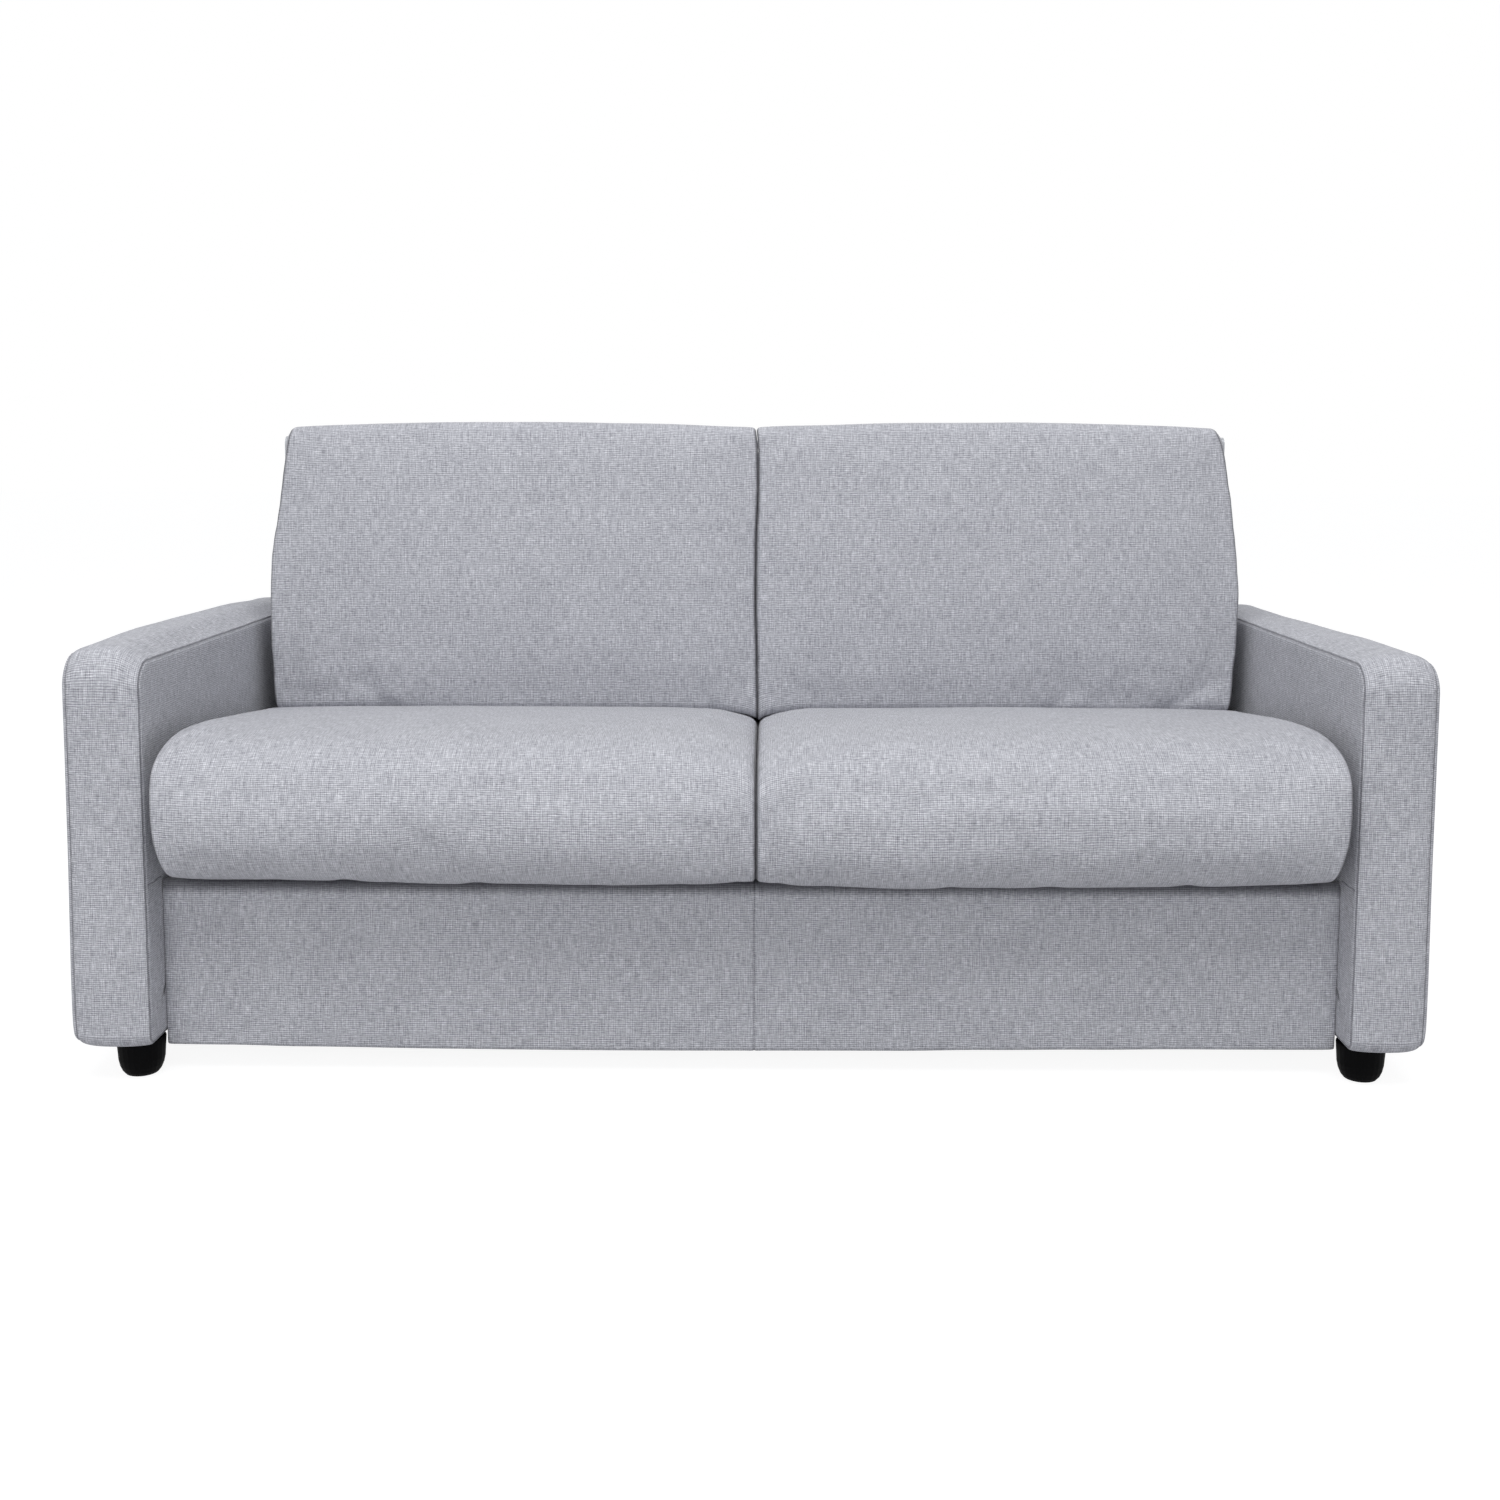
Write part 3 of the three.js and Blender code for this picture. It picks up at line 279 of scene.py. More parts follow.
class Nodes:
    """Short calls for building a material's node tree."""

    def __init__(self, name):
        self.material = bpy.data.materials.new(name)
        self.material.use_nodes = True
        self.tree = self.material.node_tree
        self.tree.nodes.clear()
        self.out = self.new("ShaderNodeOutputMaterial")
        self.shader = self.new("ShaderNodeBsdfPrincipled")
        self.link(self.shader.outputs[0], self.out.inputs[0])

    def new(self, kind, **settings):
        node = self.tree.nodes.new(kind)
        for key, value in settings.items():
            setattr(node, key, value)
        return node

    def link(self, a, b):
        self.tree.links.new(a, b)

    def put(self, socket, value):
        if hasattr(value, "is_output"):
            self.link(value, socket)
        else:
            socket.default_value = value

    def math(self, operation, a, b=0.0, clamp=False):
        node = self.new("ShaderNodeMath", operation=operation, use_clamp=clamp)
        self.put(node.inputs[0], a)
        self.put(node.inputs[1], b)
        return node.outputs[0]

    def noise(self, vector, scale, detail=2.0, roughness=0.5):
        node = self.new("ShaderNodeTexNoise")
        self.put(node.inputs["Vector"], vector)
        node.inputs["Scale"].default_value = scale
        node.inputs["Detail"].default_value = detail
        node.inputs["Roughness"].default_value = roughness
        return node.outputs["Fac"]

    def stretch(self, vector, scale):
        node = self.new("ShaderNodeVectorMath", operation="MULTIPLY")
        self.put(node.inputs[0], vector)
        node.inputs[1].default_value = scale
        return node.outputs[0]

    def ramp(self, value, low, high, to_low, to_high):
        node = self.new("ShaderNodeMapRange")
        self.put(node.inputs["Value"], value)
        for key, number in zip(("From Min", "From Max", "To Min", "To Max"),
                               (low, high, to_low, to_high)):
            node.inputs[key].default_value = number
        return node.outputs[0]

    def mix(self, factor, a, b):
        node = self.new("ShaderNodeMix", data_type="RGBA")
        self.put(node.inputs[0], factor)
        self.put(node.inputs[6], a)
        self.put(node.inputs[7], b)
        return node.outputs[2]

    def bump(self, height, distance, strength=1.0):
        node = self.new("ShaderNodeBump")
        node.inputs["Distance"].default_value = distance
        node.inputs["Strength"].default_value = strength
        self.put(node.inputs["Height"], height)
        return node.outputs[0]

    def total(self, start, *parts):
        """The start plus each (value, centre, weight), where a value counts from its centre."""
        out = start
        for value, centre, weight in parts:
            out = self.math("ADD", out, self.math("MULTIPLY", self.math("SUBTRACT", value, centre), weight))
        return out


def srgb(r, g, b):
    def one(x):
        x /= 255
        return x / 12.92 if x <= 0.04045 else ((x + 0.055) / 1.055) ** 2.4
    return (one(r), one(g), one(b), 1.0)


# dark, middle and light threads of each cloth
FABRIC_TONES = (srgb(108, 108, 115), srgb(172, 173, 180), srgb(230, 231, 236))
TICKING_TONES = (srgb(158, 157, 153), srgb(200, 199, 195), srgb(230, 230, 227))
TAPE_TONES = (srgb(96, 98, 106), srgb(132, 134, 142), srgb(168, 170, 178))
# painted shade: the colour that the cloth is darkened towards in deep seams and under overhangs, standing in
# for their shade, and how far
PAINTED_SHADE_COLOUR = srgb(46, 46, 52)
PAINTED_SHADE_SHARE = 0.75
# how much each feature of the weave changes its tone and its height
RIB_TONE, THREAD_TONE, LINE_TONE, FLECK_TONE, PATCH_TONE, NEP_TONE = 0.15, 0.08, 0.85, 0.30, 0.12, 0.10
RIB_RELIEF, THREAD_RELIEF, ROW_RELIEF, COLUMN_RELIEF, FLECK_RELIEF = 0.3, 0.15, 0.6, 0.4, 0.8
# how often a tone changes along a row or column of threads, in changes per metre
ROW_CHANGES, COLUMN_CHANGES = 75, 40


def weave_material(name, tones, rib=0.0031, thread=0.0026, depth=0.0005, contrast=1.0):
    """Heathered flat weave with cross ribs. Its threads follow the map named weave, in metres."""
    n = Nodes(name)
    at = n.new("ShaderNodeUVMap", uv_map="weave").outputs[0]
    parts = n.new("ShaderNodeSeparateXYZ")
    n.link(at, parts.inputs[0])
    along, across = parts.outputs[0], parts.outputs[1]

    def waves(value, pitch):
        return n.math("SINE", n.math("MULTIPLY", n.math("ADD", value, wander), 2 * math.pi / pitch))

    wander = n.math("MULTIPLY", n.math("SUBTRACT", n.noise(at, 45, 3), 0.5), rib * 0.8)
    ribs, threads = waves(across, rib), waves(along, thread)
    rows = n.noise(n.stretch(at, (ROW_CHANGES, 1.9 / rib, 1)), 1, 2, 0.6)
    columns = n.noise(n.stretch(at, (1.6 / thread, COLUMN_CHANGES, 1)), 1, 2, 0.6)
    flecks = n.noise(n.stretch(at, (0.8 / thread, 0.9 / rib, 1)), 1, 1, 0.5)
    patches = n.noise(at, 12, 2, 0.5)
    light_neps = n.ramp(n.noise(n.stretch(at, (170, 420, 1)), 1, 1, 0.5), 0.66, 0.76, 0, 1)
    dark_neps = n.ramp(n.noise(n.stretch(at, (150, 390, 1)), 1, 1, 0.5), 0.34, 0.25, 0, 1)
    tone = n.total(
        0.5,
        (ribs, 0.0, RIB_TONE * contrast), (threads, 0.0, THREAD_TONE * contrast),
        (rows, 0.5, LINE_TONE * contrast), (columns, 0.5, LINE_TONE * contrast),
        (flecks, 0.5, FLECK_TONE * contrast), (patches, 0.5, PATCH_TONE * contrast),
        (light_neps, 0.0, NEP_TONE * contrast), (dark_neps, 0.0, -NEP_TONE * contrast),
    )
    ramp = n.new("ShaderNodeValToRGB")
    n.link(tone, ramp.inputs[0])
    ramp.color_ramp.elements[0].color = tones[0]
    ramp.color_ramp.elements[1].color = tones[2]
    ramp.color_ramp.elements.new(0.5).color = tones[1]
    # the attribute named fold holds painted shade: seams and the front panel's top are darkened in the base
    # colour, standing in for the shade there
    fold = n.new("ShaderNodeAttribute", attribute_name="fold").outputs["Fac"]
    painted_shade_mix = n.math("MULTIPLY", fold, PAINTED_SHADE_SHARE, clamp=True)
    n.link(n.mix(painted_shade_mix, ramp.outputs[0], PAINTED_SHADE_COLOUR), n.shader.inputs["Base Color"])
    height = n.total(
        0.5,
        (ribs, 0.0, RIB_RELIEF), (threads, 0.0, THREAD_RELIEF),
        (rows, 0.5, ROW_RELIEF), (columns, 0.5, COLUMN_RELIEF), (flecks, 0.5, FLECK_RELIEF),
    )
    n.link(n.bump(height, depth, 0.7), n.shader.inputs["Normal"])
    n.link(n.ramp(tone, 0, 1, 0.97, 0.84), n.shader.inputs["Roughness"])
    n.shader.inputs["Specular IOR Level"].default_value = 0.12
    n.shader.inputs["Sheen Weight"].default_value = 0.18
    n.shader.inputs["Sheen Roughness"].default_value = 0.45
    return n.material


def plain_material(name, colour, worn, roughness, metallic, grain, depth, stretched=(1, 1, 1), gloss=0.5):
    """Moulded, painted or sawn surface with fine grain, uneven tone and uneven gloss."""
    n = Nodes(name)
    at = n.new("ShaderNodeTexCoord").outputs["Object"]
    fine = n.noise(n.stretch(at, stretched), grain, 3, 0.6)
    broad = n.noise(at, 14, 4, 0.6)
    factor = n.ramp(n.total(0.0, (fine, 0.0, 0.4), (broad, 0.0, 0.6)), 0.35, 0.7, 0, 1)
    n.link(n.mix(factor, colour, worn), n.shader.inputs["Base Color"])
    n.link(n.ramp(broad, 0.3, 0.7, roughness - 0.07, roughness + 0.08), n.shader.inputs["Roughness"])
    n.link(n.bump(fine, depth, 0.5), n.shader.inputs["Normal"])
    n.shader.inputs["Metallic"].default_value = metallic
    n.shader.inputs["Specular IOR Level"].default_value = gloss
    return n.material


FABRIC = weave_material("heathered_weave", FABRIC_TONES)
TICKING = weave_material("mattress_ticking", TICKING_TONES, 0.0024, 0.002, 0.0003, contrast=0.7)
TAPE = weave_material("mattress_tape", TAPE_TONES, 0.0016, 0.0016, 0.0003)
TUBE_PAINT = plain_material("tube_paint", srgb(176, 178, 183), srgb(160, 162, 167), 0.40, 0.2, 500, 0.0001)
PIN_STEEL = plain_material("pin_zinc", srgb(176, 178, 182), srgb(150, 152, 156), 0.34, 1.0, 700, 0.0001)
FOOT_PLASTIC = plain_material("foot_plastic", srgb(9, 9, 10), srgb(15, 15, 16), 0.6, 0.0, 900, 0.00012,
                              gloss=0.03)
RUBBER = plain_material("pad_rubber", srgb(28, 28, 29), srgb(42, 42, 43), 0.75, 0.0, 700, 0.0002)
# dark lining of the panel boards: partly their own cloth, partly painted shade for the gap under the seat
# cushions
LINING_AND_GAP_SHADE = plain_material("board_lining_and_gap_shade", srgb(34, 34, 37), srgb(48, 48, 52), 0.9, 0.0, 1500, 0.0003, gloss=0.1)
TIMBER = plain_material("board_timber", srgb(190, 160, 118), srgb(160, 128, 88), 0.7, 0.0, 60, 0.0003,
                        stretched=(1, 14, 14))

SIDES = ((1, "right"), (-1, "left"))

# ---------------------------------------------------------------- arms

ARM_FRONT, ARM_REAR = -0.435, 0.485
ARM_LOW, ARM_HIGH = 0.055, 0.631
ARM_INNER = 0.8752
ARM_RADII = [0.020, 0.020, 0.030, 0.046]
# how far inside the outline all of an arm's rows lie
ARM_INSET = 0.0035
# from this depth on, the rows of a side panel close in on a level line, given as (from Y, to Y, Z)
ARM_PANEL_DEPTH = 0.030
ARM_PANEL_CLOSING = 6.75
ARM_CORE = (-0.20, 0.25, 0.3425)
# how far the outer panel stands out at the foot and at the top
ARM_SPREAD = {1: (0.0018, 0.0002), -1: (0.0075, 0.0030)}
# how far the padded top rises over the outline, by place along Y, and its outer edge falls
ARM_LIFT = {1: [(-0.43, 0.008), (-0.20, 0.008), (0.05, 0.004), (0.30, 0.0)],
            -1: [(-0.43, 0.015), (-0.15, 0.020), (0.20, 0.017), (0.45, 0.009)]}
ARM_SHOULDER = {1: 0.0065, -1: 0.0040}
# how far the outer panel's foot is drawn in and up
ARM_FOOT_IN, ARM_FOOT_UP = 0.004, 0.002
# how uneven the outer panel, the top and the front are
ARM_UNEVEN_SIDE, ARM_UNEVEN_TOP, ARM_UNEVEN_FRONT = 0.0010, 0.0012, 0.0014

# across from the inner face, height over the outline, which cloth, how much shade is painted in at a seam
ARM_ROWS = [
    (0.0000, -0.1500, "inner", 0), (0.0000, -0.0800, "inner", 0), (0.0000, -0.0450, "inner", 0),
    (0.0000, -0.0260, "inner", 0), (0.0001, -0.0150, "inner", 0), (0.0003, -0.0095, "inner", 0),
    (0.0007, -0.0064, "inner", 0), (0.0014, -0.0046, "inner", 0.10), (0.0030, -0.0040, "inner", 0.62),
    (0.0034, -0.0026, "band", 0.62), (0.0030, -0.0008, "band", 0.10), (0.0044, 0.0006, "band", 0),
    (0.0075, 0.0016, "band", 0), (0.0130, 0.0026, "band", 0), (0.0220, 0.0036, "band", 0),
    (0.0360, 0.0044, "band", 0), (0.0520, 0.0048, "band", 0), (0.0680, 0.0047, "band", 0),
    (0.0820, 0.0040, "band", 0), (0.0920, 0.0028, "band", 0), (0.0985, 0.0014, "band", 0),
    (0.1022, 0.0000, "band", 0), (0.1042, -0.0014, "band", 0.10), (0.1044, -0.0036, "band", 0.62),
    (0.1054, -0.0040, "outer", 0.62), (0.1066, -0.0024, "outer", 0.10), (0.1084, -0.0034, "outer", 0),
    (0.1106, -0.0062, "outer", 0), (0.1126, -0.0108, "outer", 0), (0.1140, -0.0168, "outer", 0),
    (0.1149, -0.0250, "outer", 0), (0.1153, -0.0450, "outer", 0), (0.1155, -0.0800, "outer", 0),
    (0.1155, -0.1500, "outer", 0),
]


def arm_point(side, point, normal, s, h):
    """Where one point of the arm's cloth lies: across from the inner face, then along Y and Z."""
    if h > -ARM_PANEL_DEPTH:
        q = point + normal * h
    else:
        q = point - normal * ARM_PANEL_DEPTH
        core = Vector((min(max(point.x, ARM_CORE[0]), ARM_CORE[1]), ARM_CORE[2]))
        q = q.lerp(core, (-h - ARM_PANEL_DEPTH) * ARM_PANEL_CLOSING)
    y, z = q
    rise = smooth(ARM_LOW, ARM_HIGH, z)
    outer_half = smooth(0.060, 0.115, s)
    outer_edge = smooth(0.085, 0.114, s)
    shoulder = smooth(0.080, 0.114, s)
    past_seam, padded = smooth(0.004, 0.020, s), smooth(0.004, 0.040, s)
    near_rim = smooth(-0.14, -0.07, h)
    across = s + outer_half * lerp(*ARM_SPREAD[side], rise)
    across -= ARM_FOOT_IN * outer_edge * bump_at(z, ARM_LOW, 0.020)
    across += ARM_UNEVEN_SIDE * outer_half * rumple((s, y, z), 0.16, 3) * near_rim
    z += along_table(y, ARM_LIFT[side]) * smooth(0.56, ARM_HIGH, z) * padded
    z -= ARM_SHOULDER[side] * shoulder * smooth(0.57, 0.63, z)
    z += ARM_FOOT_UP * outer_edge * smooth(0.09, ARM_LOW, z)
    z += ARM_UNEVEN_TOP * rumple((s, y, z), 0.13, 1) * smooth(0.55, 0.62, z)
    y -= ARM_UNEVEN_FRONT * rumple((s, y, z), 0.12, 2) * smooth(-0.40, -0.43, y) * past_seam
    return across, y, z


def arm(side, word):
    """An upholstered arm: a band round front, top, rear and bottom, sewn to an inner and an outer panel."""
    corners = [(ARM_FRONT, ARM_LOW), (ARM_REAR, ARM_LOW), (ARM_REAR, ARM_HIGH), (ARM_FRONT, ARM_HIGH)]
    outline = resample(rounded_outline(corners, ARM_RADII, 0.005), 0.014)
    normals = outline_normals(outline)
    rings, painted_shade = [], []
    for s, h, _, fold in ARM_ROWS:
        places = [arm_point(side, p, n, s, h - ARM_INSET) for p, n in zip(outline, normals)]
        rings.append([Vector((side * (ARM_INNER + across), y, z)) for across, y, z in places])
        painted_shade.append([fold] * len(outline))
    kinds = [row[2] for row in ARM_ROWS[:-1]]
    mappings = {"inner": upright, "outer": upright, "band": round_the_outline(arc_lengths(outline), side)}
    obj = loop_mesh(f"arm_upholstery_{word}", rings, kinds, mappings, painted_shade)
    obj.data.materials.append(FABRIC)
    add_subdivision(obj)
    return obj


INNER_SEAM_FROM, INNER_SEAM_TO, INNER_SEAM_LEVEL = -0.4255, -0.3725, 0.2985
INNER_SEAM_PARTS = 24
# the last value is how much shade is painted onto the seam cord
INNER_SEAM_PROUD, INNER_SEAM_WAVE, INNER_SEAM_RADIUS, INNER_SEAM_PAINTED_SHADE = 0.0001, 0.0008, 0.0009, 0.75


def inner_arm_seam(side, word):
    """The short level seam on the arm's inner panel, from its front edge back past the front panel."""
    x = side * (ARM_INNER + INNER_SEAM_PROUD)
    points = []
    for k in range(INNER_SEAM_PARTS + 1):
        y = lerp(INNER_SEAM_FROM, INNER_SEAM_TO, k / INNER_SEAM_PARTS)
        points.append(Vector((x, y, INNER_SEAM_LEVEL + INNER_SEAM_WAVE * math.sin(k * 0.4))))
    obj = tube(f"arm_inner_seam_{word}", points, INNER_SEAM_RADIUS, sides=8)
    # the seam cord is darkened by painted shade
    fold = obj.data.attributes.new("fold", "FLOAT", "POINT")
    fold.data.foreach_set("value", [INNER_SEAM_PAINTED_SHADE] * len(obj.data.vertices))
    obj.data.materials.append(FABRIC)
    return obj


for side, word in SIDES:
    piece = arm(side, word)
    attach(piece, "sofa_base")
    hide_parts(f"arm_cover_{word}")
    piece = inner_arm_seam(side, word)
    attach(piece, "sofa_base")

# ---------------------------------------------------------------- cushions

CLOTH_FRAMES = 20
CLOTH_PRESSURE = 4.0
# the furthest that the cloth simulation moves a point
CLOTH_REACH = 0.006


def settle(obj, held):
    """Fills the cover as cloth under pressure and applies the result. The held points stay."""
    count = len(obj.data.vertices)
    start = np.empty(count * 3)
    obj.data.vertices.foreach_get("co", start)
    start = start.reshape(-1, 3)
    group = obj.vertex_groups.new(name="held")
    for index, v in enumerate(obj.data.vertices):
        group.add([index], held(v.co), "REPLACE")
    cloth = obj.modifiers.new("cloth", "CLOTH")
    cloth.settings.vertex_group_mass = "held"
    cloth.settings.pin_stiffness = 1.0
    cloth.settings.use_pressure = True
    cloth.settings.uniform_pressure_force = CLOTH_PRESSURE
    cloth.settings.tension_stiffness = 30
    cloth.settings.compression_stiffness = 30
    cloth.settings.shear_stiffness = 12
    cloth.settings.bending_stiffness = 1.2
    cloth.settings.shrink_min = -0.006
    cloth.settings.quality = 5
    cloth.settings.effector_weights.gravity = 0
    cloth.collision_settings.use_collision = False
    cloth.point_cache.frame_start, cloth.point_cache.frame_end = 1, CLOTH_FRAMES
    for number in range(1, CLOTH_FRAMES + 1):
        bpy.context.scene.frame_set(number)
    moved = obj.evaluated_get(bpy.context.evaluated_depsgraph_get()).to_mesh()
    end = np.empty(count * 3)
    moved.vertices.foreach_get("co", end)
    obj.evaluated_get(bpy.context.evaluated_depsgraph_get()).to_mesh_clear()
    obj.modifiers.remove(cloth)
    obj.vertex_groups.remove(group)
    bpy.context.scene.frame_set(1)
    step = end.reshape(-1, 3) - start
    size = np.linalg.norm(step, axis=1, keepdims=True)
    step *= np.minimum(1, CLOTH_REACH / np.maximum(size, 1e-9))
    obj.data.vertices.foreach_set("co", (start + step).ravel())
    obj.data.update()


# rings at a cushion's end: their distance from it, and those of the closing cap by share of the outline
END_STEPS = [0.0, 0.0012, 0.0030, 0.0055, 0.009, 0.014, 0.021, 0.030, 0.042, 0.056, 0.072]
END_SHARES = [0.10, 0.28, 0.46, 0.63, 0.78, 0.89, 0.96]
# how much shade is painted on the end's seam on the rings that it covers, and how far its middle one is sunk
END_SEAM_PAINTED_SHADE = {END_STEPS[0]: 0.35, END_STEPS[1]: 1.0, END_STEPS[2]: 0.25}
END_SEAM_SUNK = 0.0011
# spacing of points round the outlines of cushions, mattress and panels
OUTLINE_STEP = 0.013


def stations(x0, x1, step):
    """Places along X, close together near both ends, each with its distance from the nearer end."""
    near = [(x0 + d, d) for d in END_STEPS]
    far = [(x1 - d, d) for d in reversed(END_STEPS)]
    a, b = x0 + END_STEPS[-1], x1 - END_STEPS[-1]
    count = max(2, round((b - a) / step))
    middle = [lerp(a, b, k / count) for k in range(1, count)]
    return near + [(x, min(x - x0, x1 - x)) for x in middle] + far


def end_inset(d, width, depth):
    """How far the outline is drawn in at distance d from a rounded end."""
    t = 1 - min(1.0, d / width)
    return depth * (1 - math.sqrt(max(0.0, 1 - t * t)))


def cushion(name, outline, x0, x1, edge, shape, step=0.016):
    """A stuffed cover: the YZ outline swept along X, its ends rounded by edge, each point moved by shape."""
    normals = outline_normals(outline)
    centre = sum(outline, Vector((0, 0))) / len(outline)
    rounds = [edge(p, n) for p, n in zip(outline, normals)]
    lo, hi = min(x0, x1), max(x0, x1)

    def ring(x, d):
        return [Vector((x, *(p - n * end_inset(d, *r)))) for p, n, r in zip(outline, normals, rounds)]

    def cap(x):
        base = ring(x, 0.0)
        return [[Vector((x, *(centre + (Vector(p[1:]) - centre) * share))) for p in base]
                for share in END_SHARES]

    first, last = cap(lo), cap(hi)
    places = stations(lo, hi, step)
    rings = first + [ring(x, d) for x, d in places] + last[::-1]
    kinds = ["end"] * len(first) + ["body"] * (len(places) - 1) + ["end"] * len(last)
    # painted shade along the seams at both ends
    ring_painted_shades = [0.0] * len(first) + [END_SEAM_PAINTED_SHADE.get(d, 0.0) for _, d in places] + [0.0] * len(last)
    painted_shade = [[ring_painted_shade] * len(outline) for ring_painted_shade in ring_painted_shades]
    moved = []
    for points, ring_painted_shade in zip(rings, ring_painted_shades):
        sunk = END_SEAM_SUNK if ring_painted_shade == 1.0 else 0.0
        moved.append([shape(Vector((p.x, *(Vector(p[1:]) - n * sunk))), n) for p, n in zip(points, normals)])
    mappings = {"body": round_the_outline(arc_lengths(outline)), "end": upright}
    return loop_mesh(name, moved, kinds, mappings, painted_shade)


# half the gap between two cushions, and how far out they end
CUSHION_GAP = 0.0006
CUSHION_END = 0.850
# where the pair of seat cushions and the pair of back cushions meet
SEAT_MIDDLE = 0.0098
BACK_MIDDLE = 0.0076


def share_across(x, side, middle):
    """0 at the inner end of a cushion, 1 at its outer end."""
    inner = side * middle + CUSHION_GAP
    return min(1.0, max(0.0, (side * x - inner) / (CUSHION_END - inner)))


# a seat cushion's side view, from the rear foot over the top and down the nose
SEAT_OUTLINE = [(0.235, 0.2957), (0.249, 0.3010), (0.255, 0.3200), (0.256, 0.3850), (0.253, 0.4400),
                (0.243, 0.4600), (0.215, 0.4660), (0.150, 0.4675), (0.122, 0.4720), (0.090, 0.4765),
                (0.000, 0.4870), (-0.100, 0.4975), (-0.200, 0.5045), (-0.300, 0.5075), (-0.360, 0.5060),
                (-0.410, 0.4998), (-0.448, 0.4870), (-0.468, 0.4650), (-0.475, 0.4340), (-0.476, 0.4000),
                (-0.475, 0.3660), (-0.467, 0.3390), (-0.451, 0.3220), (-0.427, 0.3125),
                (-0.395, 0.3070), (-0.340, 0.3000), (-0.150, 0.2957), (0.050, 0.2957)]
# where the seat cushions' lower front edge hangs below its ends, place along X and drop
SEAT_SAG = [(-0.84, 0.0), (-0.78, 0.002), (-0.60, 0.005), (-0.40, 0.008), (-0.20, 0.0115), (-0.08, 0.009),
            (0.0, 0.0045), (0.08, 0.010), (0.24, 0.0165), (0.45, 0.014), (0.66, 0.009), (0.78, 0.004),
            (0.84, 0.001)]
# how far the top falls, over what width, towards the line where both seat cushions meet
SEAT_DIP_DEPTH, SEAT_DIP_WIDTH = 0.021, 0.100
# how far a seat cushion swells halfway along, and how uneven its top, front and inner end are
SEAT_CROWN = 0.004
SEAT_UNEVEN_TOP, SEAT_UNEVEN_FRONT, SEAT_UNEVEN_END = 0.0016, 0.0018, 0.0006
# its outer front corner: how far it rises and stands out, and how far its foot is drawn in
SEAT_CORNER_UP, SEAT_CORNER_OUT, SEAT_CORNER_IN = 0.009, 0.003, 0.009


def seat_edge(p, n):
    """Width and depth of the end's rounding: soft over the top, tight on the front face."""
    top = smooth(0.35, 0.85, n.y) * smooth(0.25, 0.18, p.x)
    return lerp(0.007, 0.016, top), lerp(0.0045, 0.010, top)


def seat_dip(x):
    """How far the seat's top falls towards the line where both cushions meet."""
    t = 1 - min(1.0, abs(x - SEAT_MIDDLE) / SEAT_DIP_WIDTH)
    return SEAT_DIP_DEPTH * (1 - math.sqrt(max(0.0, 1 - t * t)))


def seat_shape(side):
    def shape(p, n):
        x, y, z = p
        across = share_across(x, side, SEAT_MIDDLE)
        crown = SEAT_CROWN * 4 * across * (1 - across)
        outer_end = smooth(0.90, 1.0, across)
        top = smooth(0.38, 0.47, z)
        free = top * smooth(0.14, 0.08, y)
        z += (crown + SEAT_UNEVEN_TOP * rumple((x, y, z), 0.16, 4)) * free
        z += SEAT_CORNER_UP * smooth(0.80, 1.0, across) * free * bump_at(y, -0.34, 0.16)
        x += side * SEAT_CORNER_OUT * outer_end * smooth(-0.20, -0.38, y) * smooth(0.36, 0.42, z)
        z -= seat_dip(x) * top * smooth(0.26, 0.20, y)
        nose = smooth(-0.385, -0.44, y) * smooth(0.42, 0.32, z)
        z -= along_table(x, SEAT_SAG) * nose
        front = smooth(-0.33, -0.46, y)
        swell = crown + SEAT_UNEVEN_FRONT * rumple((x, y, z), 0.13, 5)
        y -= swell * front * smooth(0.305, 0.35, z)
        x -= side * SEAT_CORNER_IN * smooth(0.385, 0.318, z) * front * outer_end
        x += SEAT_UNEVEN_END * smooth(0.10, 0.0, across) * rumple((0, y, z), 0.05, 6)
        return Vector((x, y, z))
    return shape


BACK_FOOT = 0.47
# a back cushion's side view by its corners, from the front foot over the rear to the front top
BACK_OUTLINE = [(0.127, 0.4693), (0.3037, 0.4693), (0.3037, 0.970), (0.168, 0.968)]
BACK_RADII = [0.015, 0.018, 0.040, 0.017]
# how far a back cushion's outer end is drawn in, and how the gap in the middle wanders, by height
BACK_DRAWN_IN = {
    -1: [(0.47, 0.008), (0.52, 0.004), (0.60, -0.0010), (0.68, -0.0016), (0.735, 0.0000), (0.77, 0.0044),
         (0.805, 0.0115), (0.84, 0.0172), (0.876, 0.0222), (0.911, 0.028), (0.935, 0.033), (0.96, 0.038)],
    1: [(0.47, 0.011), (0.52, 0.006), (0.60, -0.0015), (0.68, -0.0044), (0.735, -0.0010), (0.77, 0.0026),
        (0.805, 0.0073), (0.84, 0.0110), (0.876, 0.0180), (0.911, 0.0235), (0.935, 0.030), (0.96, 0.040)],
}
BACK_GAP = [(0.47, 0.0010), (0.56, 0.0), (0.66, -0.0025), (0.76, -0.0020), (0.86, 0.0014), (0.93, 0.0010),
            (0.975, -0.0030)]
# how far a back cushion swells on top and in front, and how uneven both are
BACK_CROWN, BACK_BELLY = 0.009, 0.016
BACK_UNEVEN_TOP, BACK_UNEVEN_FRONT = 0.0014, 0.0022
# depth of the creases at its outer foot, and of each small fold and of the ridge beside it
BACK_CREASE, BACK_PINCH, BACK_RIDGE = 0.0026, 0.0075, 0.003
# small folds that run up from a back cushion's foot: place along X, width and how far they lean
BACK_PINCHES = [(0.525, 0.011, 1.2), (0.735, 0.016, 1.6), (-0.070, 0.010, -0.8), (-0.640, 0.015, -1.2)]


def back_edge(p, n):
    """Width and depth of the end's rounding: tight along the foot, softer down the front and over the top."""
    foot = smooth(0.56, 0.50, p.y)
    return lerp(0.008, 0.004, foot), lerp(0.005, 0.0025, foot)


